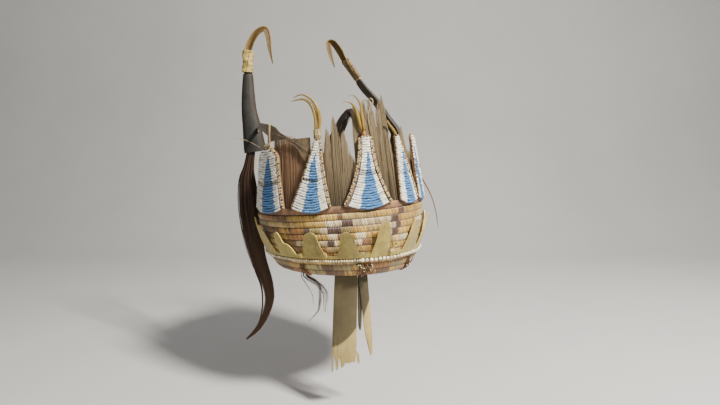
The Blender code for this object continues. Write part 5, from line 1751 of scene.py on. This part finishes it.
def build_lashing(lashing):
    """Turns of cord over the rim, with slack loops and crossings on the seen side."""
    rng = random.Random(lashing.number)
    azimuth, top = lashing.azimuth, lashing.top
    wide = math.degrees(lashing.spread / RIM_RADIUS)
    lines = []

    def outside(at, height, lift):
        return ring_point(at, bowl_radius(height) + lift, height)

    for turn in range(CORD_TURNS):
        start = azimuth + wide * (-0.5 + 0.2 * turn) + rng.uniform(-0.5, 0.5)
        end = azimuth + 1.6 * (-0.5 + 0.2 * turn)
        sway = rng.uniform(-1.2, 1.2)
        line = []
        for share in even(10):
            arch = math.sin(math.pi * share)
            at = start + (end - start) * share + sway * arch
            line.append(outside(at, top * (1 - share) + 0.0002, 0.0013 + 0.0008 * arch))
        line += [ring_point(end, RIM_RADIUS - 0.0002, -0.0011),
                 ring_point(end, RIM_RADIUS - CAP_WALL / 2, -0.0014),
                 ring_point(end, TIE_RADIUS + 0.0001, -0.0011)]
        line += [ring_point(end, TIE_RADIUS - 0.0008, TIE_TUCK * share) for share in even(6)]
        lines.append((line, 1.0, rng.random()))
    for _ in range(lashing.crossings):
        first, last = (azimuth + wide * rng.uniform(-0.7, 0.7) for _ in range(2))
        low, high = rng.uniform(0.05, 0.5) * top, rng.uniform(0.5, 1.0) * top
        line = []
        for share in even(9):
            lift = 0.0024 + 0.0012 * math.sin(math.pi * share)
            line.append(outside(first + (last - first) * share, low + (high - low) * share, lift))
        lines.append((line, 0.9, rng.random()))
    for _ in range(lashing.loops):
        middle, size = azimuth + wide * rng.uniform(-0.5, 0.6), rng.uniform(0.0022, 0.0034)
        high = top * rng.uniform(0.35, 0.75)
        line = []
        for turn in (2 * math.pi * share for share in even(16)):
            at = middle + math.degrees(size * math.cos(turn) / RIM_RADIUS)
            line.append(outside(at, high + 1.4 * size * math.sin(turn), 0.0034 + 0.0006 * math.sin(2 * turn)))
        lines.append((line, 0.8, rng.random()))
    strands_piece(f"cord_lashing_{lashing.number}", lines, cord_strand, CORD_RADIUS,
                  [f"rim_lashing_{lashing.number}"], 1.0, 7)
    if lashing.beads:
        spots = [outside(azimuth + wide * rng.uniform(-0.6, 0.75), top * rng.uniform(0.25, 1.0), 0.0038)
                 for _ in range(lashing.beads)]
        tints = [(*(rng.uniform(0.75, 1.0) * value for value in EDGE_WHITE), 1) for _ in spots]
        runs = [Vector((rng.uniform(-1, 1), 0.2, rng.uniform(-1, 1))).normalized() for _ in spots]
        beads = [(settle(spot), run, tint, 1.0) for spot, run, tint in zip(spots, runs, tints)]
        beads_piece(f"lashing_beads_{lashing.number}", beads, round_beads, Width=0.0015, Length=0.0017, Sides=8)
    return len(lines)


print("cord turns:", [build_lashing(lashing) for lashing in LASHINGS])

# %% [markdown]
# ## The hide ties
# Strips of pale hide hang from inside the front of the rim. They were cut by hand, so their edges wander,
# and their lower ends are torn into tongues. Each is a thin sheet with a shallow curl across it.

# %% Ties
TieRow = namedtuple("TieRow", "drop left right inset")
TIES = {name: table(TieRow, rows) for name, rows in {
    "tie_wide": (
        (0.00, -22.5, -4.0, 0.0), (0.12, -22.8, -3.4, 0.0), (0.35, -24.0, -3.6, 0.6), (0.62, -25.0, -4.0, 1.0),
        (0.86, -25.6, -4.3, 0.8), (0.90, -25.7, -2.0, 0.7), (1.00, -26.0, -1.2, 0.6)),
    "tie_narrow": (
        (0.00, -1.8, 5.0, 1.3), (0.12, -1.8, 6.0, 1.3), (0.40, 0.6, 8.0, 0.2), (0.65, 2.8, 9.4, -0.6),
        (0.86, 6.6, 9.8, -1.0)),
    "tie_scrap": ((0.00, -2.6, 1.6, 2.6), (0.30, -2.6, 1.4, 2.6), (0.62, -2.2, 0.8, 2.8)),
}.items()}
TIE_COLUMNS, TIE_STEPS = {"tie_wide": 92, "tie_narrow": 22, "tie_scrap": 10}, 90
# How far each place of the wide tie's end stops short, from its left to its right: slits part the tongues
WIDE_TIE_END = (0.0, 0.0, 0.17, 0.15, 0.02, 0.02, 0.14, 0.12, 0.04, 0.05, 0.06, 0.09, 0.085, 0.09, 0.085, 0.09,
                0.095, 0.10, 0.09, 0.095, 0.20, 0.09, 0.07, 0.09)
tie_hide = hide_material("tie_hide", (0.31, 0.230, 0.085), (0.44, 0.335, 0.128), 0.8, 22.0, 0.3)
tie_cuts = {}


def ragged(name, u):
    """How far a tie's end stops short at this place across it."""
    if name != "tie_wide":
        return 0.05 * (2 * u - 1) ** 2 + 0.012 * abs(wobble(u * 9))
    place = u * (len(WIDE_TIE_END) - 1)
    index = min(int(place), len(WIDE_TIE_END) - 2)
    share = place - index
    eased = share * share * (3 - 2 * share)
    return WIDE_TIE_END[index] * (1 - eased) + WIDE_TIE_END[index + 1] * eased


def painted_cap_shadow(name, u):
    """How dark the cap's painted shadow makes a tie's upper part, and how far down the slanting line is that
    ends it.
    """
    return {"tie_wide": (0.21, 0.7575 - 0.06 * u - 0.1275 * u * u), "tie_narrow": (0.15, 0.56 - 0.20 * u),
            "tie_scrap": (0.15, 2.0)}[name]


def build_tie(name, rows, across_steps):
    def point(u, v, face):
        row = interpolate(rows, v * rows[-1].drop)
        drop = TIE_DROP * (row.drop - ragged(name, u) * v ** 3)
        wander = 0.18 * wobble(v * 5, 1.7 * (u > 0.5)) * v
        azimuth = row.left + (row.right - row.left) * u + wander * (1 if u in (0, 1) else 0.8)
        curl = -0.0009 * abs(2 * u - 1) ** 2.5 * min(v * 3, 1) + 0.0007 * wobble(u * 2.2, v * 4) * v
        radius = TIE_RADIUS - TIE_WALL * (0.5 + row.inset) + face * TIE_WALL * 0.45 + curl
        return ring_point(azimuth, radius, TIE_TUCK - drop)

    def tint(column, row):
        u, v = column / across_steps, row / TIE_STEPS
        # Painted shadow: above the slanting line the tie is darkened as if in the cap's shadow.
        dark, line = painted_cap_shadow(name, u)
        lit = dark + (1 - dark) * clamp((v - ragged(name, u) * v ** 3 - line) / 0.015)
        edge = 1.12 if column in (0, across_steps) else 1.0
        shade = edge * lit * (1 + 0.08 * wobble(column * 0.3, row * 0.12))
        return (shade, shade * 0.98, shade * 0.93, 1)

    piece = sheet_piece(f"{name}_strip", even(across_steps), even(TIE_STEPS), point, tie_hide, [name],
                        tint, blend=True)
    widths = [math.radians(row.right - row.left) * TIE_RADIUS for row in rows]
    kept = 1 - sum(ragged(name, u) for u in even(200)) / 201 / rows[-1].drop
    area = sum((after.drop - before.drop) * TIE_DROP * (a + b) / 2
               for before, after, a, b in zip(rows, rows[1:], widths, widths[1:])) * kept
    tie_cuts[name] = (piece, max(widths) + 0.0005, rows[-1].drop * TIE_DROP, area)


for name, rows in TIES.items():
    build_tie(name, rows, TIE_COLUMNS[name])
print("ties:", list(tie_cuts))

# %% [markdown]
# ## Long hair
# A dark horsehair tail hangs at the left horn, an arched plume stands over the crown and falls behind, and
# a thin wisp hangs at the right. Each is a bundle of strands that follow one path and end at different
# lengths, so the bundle stays full at its top and thins to loose points.

# %% Long hair tables
TAIL_LENGTH, TAIL_HALF_WIDTH, TAIL_WALL, TAIL_STRAND = 0.286, 0.0125, 0.008, 0.00048
PLUME_REACH, PLUME_HALF_WIDTH, PLUME_WALL, PLUME_STRAND = 0.130, 0.014, 0.008, 0.00038
HairRow = namedtuple("HairRow", "side back up width")
LEFT_TAIL = table(HairRow, (
    (0.000, 0.00, 0.000, 0.35), (-0.024, 0.00, -0.098, 0.50), (-0.038, 0.00, -0.161, 0.80),
    (-0.042, 0.00, -0.255, 1.00), (-0.042, 0.00, -0.360, 1.02), (-0.036, 0.00, -0.479, 0.96),
    (-0.020, 0.00, -0.594, 0.80), (0.018, 0.00, -0.696, 0.58), (0.032, 0.00, -0.787, 0.47),
    (0.010, 0.00, -0.872, 0.36), (-0.033, 0.00, -0.948, 0.22), (-0.088, 0.00, -1.000, 0.07)))
# A lock that parts from the tail's left edge and meets it again near its end
TAIL_LOCK = table(HairRow, (
    (-0.042, 0.00, -0.255, 0.60), (-0.050, 0.00, -0.360, 0.50), (-0.056, 0.00, -0.479, 0.34),
    (-0.058, 0.00, -0.560, 0.20), (-0.036, 0.00, -0.650, 0.13), (-0.013, 0.00, -0.715, 0.11),
    (-0.005, 0.00, -0.775, 0.10), (-0.007, 0.00, -0.835, 0.10), (-0.019, 0.00, -0.895, 0.08),
    (-0.038, 0.00, -0.943, 0.06), (-0.080, 0.00, -0.995, 0.03)))
PLUME = table(HairRow, (
    (0.231, -0.101, 0.000, 0.30), (0.256, -0.105, 1.250, 0.50), (0.247, -0.059, 1.490, 0.55),
    (0.228, 0.042, 1.585, 0.58), (0.226, 0.202, 1.577, 0.62), (0.227, 0.408, 1.523, 0.68),
    (0.215, 0.624, 1.415, 0.76), (0.180, 0.815, 1.254, 0.90), (0.115, 0.959, 0.923, 1.05),
    (0.035, 1.033, 0.508, 1.15), (-0.068, 1.033, 0.077, 1.20), (-0.184, 0.982, -0.231, 1.10),
    (-0.150, 0.858, -0.577, 0.95), (-0.170, 0.788, -0.877, 0.55)))
# Where the plume's loose ends curl away under the rim
LOOSE_ENDS = tuple(table(HairRow, end) for end in (
    ((-0.20, 0.96, -0.20, 0.5), (-0.32, 0.88, -0.33, 0.16), (-0.285, 0.862, -0.413, 0.14),
     (-0.228, 0.862, -0.514, 0.12), (-0.190, 0.862, -0.615, 0.10), (-0.186, 0.862, -0.722, 0.06)),
    ((-0.20, 0.96, -0.20, 0.5), (-0.284, 0.89, -0.330, 0.25), (-0.198, 0.862, -0.404, 0.30),
     (-0.120, 0.862, -0.464, 0.34), (-0.048, 0.862, -0.548, 0.36), (-0.023, 0.862, -0.628, 0.34),
     (-0.034, 0.862, -0.735, 0.26), (-0.035, 0.862, -0.825, 0.12)),
    ((-0.20, 0.96, -0.20, 0.5), (-0.277, 0.89, -0.345, 0.22), (-0.189, 0.862, -0.417, 0.26),
     (-0.127, 0.862, -0.485, 0.30), (-0.117, 0.862, -0.572, 0.28), (-0.113, 0.862, -0.671, 0.26),
     (-0.122, 0.862, -0.748, 0.20), (-0.142, 0.862, -0.815, 0.13), (-0.25, 0.862, -0.918, 0.05))))
print("rows:", len(LEFT_TAIL), len(PLUME), [len(end) for end in LOOSE_ENDS])


# %% Hair bundles
def bundle_lines(rows, origin, scale, half_width, wall, wide, count, rng, steps=26, full=0.30, curl=0.10):
    """Strands that follow one path side by side. A share of them reach its end, and the others stop short."""
    last = len(rows) - 1
    frames = []
    for share in even(steps):
        place = share * last
        after, before = smooth_row(rows, min(place + 0.1, last)), smooth_row(rows, max(place - 0.1, 0))
        along = Vector(after[:3]) - Vector(before[:3])
        across = (wide - along * wide.dot(along) / along.length_squared).normalized()
        row = smooth_row(rows, place)
        frames.append((origin + scale * Vector(row[:3]), across, across.cross(along).normalized(), row.width))
    lines = []
    clumps = [(rng.uniform(0, 2 * math.pi), math.sqrt(rng.random()), rng.uniform(0, 6),
               rng.uniform(-curl, curl)) for _ in range(max(count // 22, 3))]
    for number in range(count):
        turn, out, phase, sway = clumps[number % len(clumps)]
        turn += rng.gauss(0, 0.35)
        out = min(out + rng.gauss(0, 0.16), 1.08) * (1.2 if rng.random() < 0.06 else 1)
        end = steps if rng.random() < full else round(steps * rng.uniform(0.72, 1.0))
        phase += rng.gauss(0, 0.25)
        sway += rng.gauss(0, 0.03)
        line = []
        for index in range(end + 1):
            middle, across, deep, width = frames[index]
            share = index / steps
            drift = sway * math.sin(phase + 7 * share) * (0.3 + 1.2 * share)
            thick = (wall / 2) * (1 - 0.7 * share ** 2) * (0.4 + 0.6 * min(share * 6, 1))
            line.append(middle + across * half_width * width * (out * math.cos(turn) + drift)
                        + deep * thick * out * math.sin(turn))
        lines.append((line, rng.uniform(0.5, 1.2), rng.random() ** 1.5))
    return lines


tail_rng = random.Random(41)
sight = outward(LEAN_AZIMUTH)
tail_bundle = (horn_base(HORNS[0]) - UP * GAP, TAIL_LENGTH, TAIL_HALF_WIDTH, TAIL_WALL, sight)
lines = []
for path, count, full in ((LEFT_TAIL, 600, 0.3), (TAIL_LOCK, 44, 0.5)):
    rows = [HairRow(sight.x * row.side, sight.y * row.side, row.up, row.width) for row in path]
    lines += bundle_lines(rows, *tail_bundle, count, tail_rng, 32, full, 0.16)
tail = strands_piece("horse_tail_left", lines, dark_hair, TAIL_STRAND, ["tail_left"])
root = PLUME_REACH * math.hypot(PLUME[0].side, PLUME[0].back)
dome = BAND_TOP + DOME_RISE * math.sqrt(1 - (root / DOME_RADIUS) ** 2) + 2 * GAP
rows = [PLUME[0]._replace(up=dome / PLUME_REACH), *PLUME[1:12]]
bundle = (Vector((0, 0, 0)), PLUME_REACH, PLUME_HALF_WIDTH, PLUME_WALL, sight)
lines = bundle_lines(rows, *bundle, 180, tail_rng, 34)
for end, count in zip(LOOSE_ENDS, (10, 40, 34)):
    ends = bundle_lines([PLUME[9], PLUME[10], *end], *bundle, count, tail_rng, 26, 0.35, 0.45)
    lines += [(line, thick * 0.8, 0.35 + 0.65 * shade) for line, thick, shade in ends]
plume = strands_piece("arched_plume", lines, plume_hair, PLUME_STRAND, ["back_plume"])
print("long hair faces:", len(tail.data.polygons), len(plume.data.polygons))

# %% Wisp at the right
WISP_LENGTH, WISP_RADIUS, WISP_SETBACK, WISP_STRANDS, WISP_STRAND = 0.080, 0.0012, 0.0011, 26, 0.00035


def build_wisp():
    rng = random.Random(43)
    azimuth = TUFTS["tuft_back"].start + 12
    height = BAND_TOP + BACK_HAIR_HEIGHT * 0.5
    start = ring_point(azimuth, hair_radius(height) - WISP_SETBACK + GAP + WISP_RADIUS, height)
    lines = []
    for _ in range(WISP_STRANDS):
        aside = outward(azimuth + rng.uniform(0, 360)) * WISP_RADIUS * 0.8
        length = rng.uniform(0.75, 1.0)
        line = []
        for share in even(14):
            reach = share * length
            out = outward(azimuth) * WISP_LENGTH * 0.34 * math.sin(reach * 1.6)
            line.append(start + out + aside * (1 - 0.5 * share) - UP * (WISP_LENGTH * reach ** 1.15))
        lines.append((line, rng.uniform(0.6, 1.0), rng.random()))
    return strands_piece("wisp_strands", lines, red_hair, WISP_STRAND, ["wisp_right"], 0.3)


print("wisp faces:", len(build_wisp().data.polygons))

# %% [markdown]
# ## Flat sizes of the sheets
# The web and the two larger ties are flat cut sheets that were stretched or hung. Their areas are worked out
# from the same tables that shaped them, and the ties' cut sizes and areas are printed. The third tie is a
# scrap narrower than a centimetre.

# %% Flat sizes
web_area()
for name in ("tie_wide", "tie_narrow"):
    piece, wide, long, area = tie_cuts[name]
    print(name, "cut size:", round(wide, 4), round(long, 4), "area:", round(area, 5))

# %% [markdown]
# ## Floor, light and camera
# The headdress is held up in front of a plain pale sweep, as in a studio. The main light stands high at the
# front right and is small enough to pick out each bead. A wide, weak one fills the left, and one behind
# lifts the hair off the background. The camera stands a little left of the front and looks slightly down.

# %% Floor and lights
def build_sweep():
    paper, tree = new_material("sweep_paper")
    tone = mottled(tree, object_place(tree), 2.5, (0.50, 0.49, 0.475), (0.53, 0.52, 0.505))
    finish_surface(tree, tone["Color"], 0.9)
    floor, bend_from, bend, top = -0.175, 0.9, 0.6, 3.0
    profile = [(-3.0, floor)]
    for share in even(16):
        turn = math.pi / 2 * share
        profile.append((bend_from + bend * math.sin(turn), floor + bend * (1 - math.cos(turn))))
    profile.append((bend_from + bend, top))
    shape = bmesh.new()
    left, right = ([shape.verts.new((side, y, z)) for y, z in profile] for side in (-4.0, 4.0))
    for index in range(len(profile) - 1):
        shape.faces.new((left[index], right[index], right[index + 1], left[index + 1]))
    mesh = bpy.data.meshes.new("studio_sweep")
    shape.to_mesh(mesh)
    shape.free()
    mesh.shade_smooth()
    mesh.materials.append(paper)
    sweep = bpy.data.objects.new("studio_sweep", mesh)
    sweep.rotation_euler = (0, 0, math.radians(-16))
    bpy.context.scene.collection.objects.link(sweep)


def add_light(name, place, target, size, power, colour):
    data = bpy.data.lights.new(name, "AREA")
    data.size = size
    data.energy = power
    data.color = colour
    light = bpy.data.objects.new(name, data)
    light.location = place
    light.rotation_euler = (Vector(target) - Vector(place)).to_track_quat("-Z", "Y").to_euler()
    bpy.context.scene.collection.objects.link(light)


build_sweep()
add_light("key", (0.58, -0.98, 1.28), (0.01, -0.04, 0.06), 0.24, 84, (1.0, 0.965, 0.90))
add_light("fill", (-0.60, -1.20, 0.50), (0, 0, 0.05), 0.9, 2.5, (1.0, 0.98, 0.95))
add_light("back", (0.5, 1.0, 0.9), (0, 0, 0.12), 0.6, 4, (1.0, 1.0, 1.0))
world = bpy.data.worlds.new("studio_air")
world.use_nodes = True
world.node_tree.nodes["Background"].inputs["Color"].default_value = (0.62, 0.64, 0.67, 1)
world.node_tree.nodes["Background"].inputs["Strength"].default_value = 0.30
bpy.context.scene.world = world
print("lights: 3")

# %% Camera
data = bpy.data.cameras.new("camera")
data.sensor_width = 36
data.sensor_fit = "HORIZONTAL"
data.lens = 24.45
camera = bpy.data.objects.new("camera", data)
camera.location = (-0.1655, -0.6548, 0.141)
camera.rotation_euler = (math.radians(85), 0, math.radians(-16))
bpy.context.scene.collection.objects.link(camera)
bpy.context.scene.camera = camera
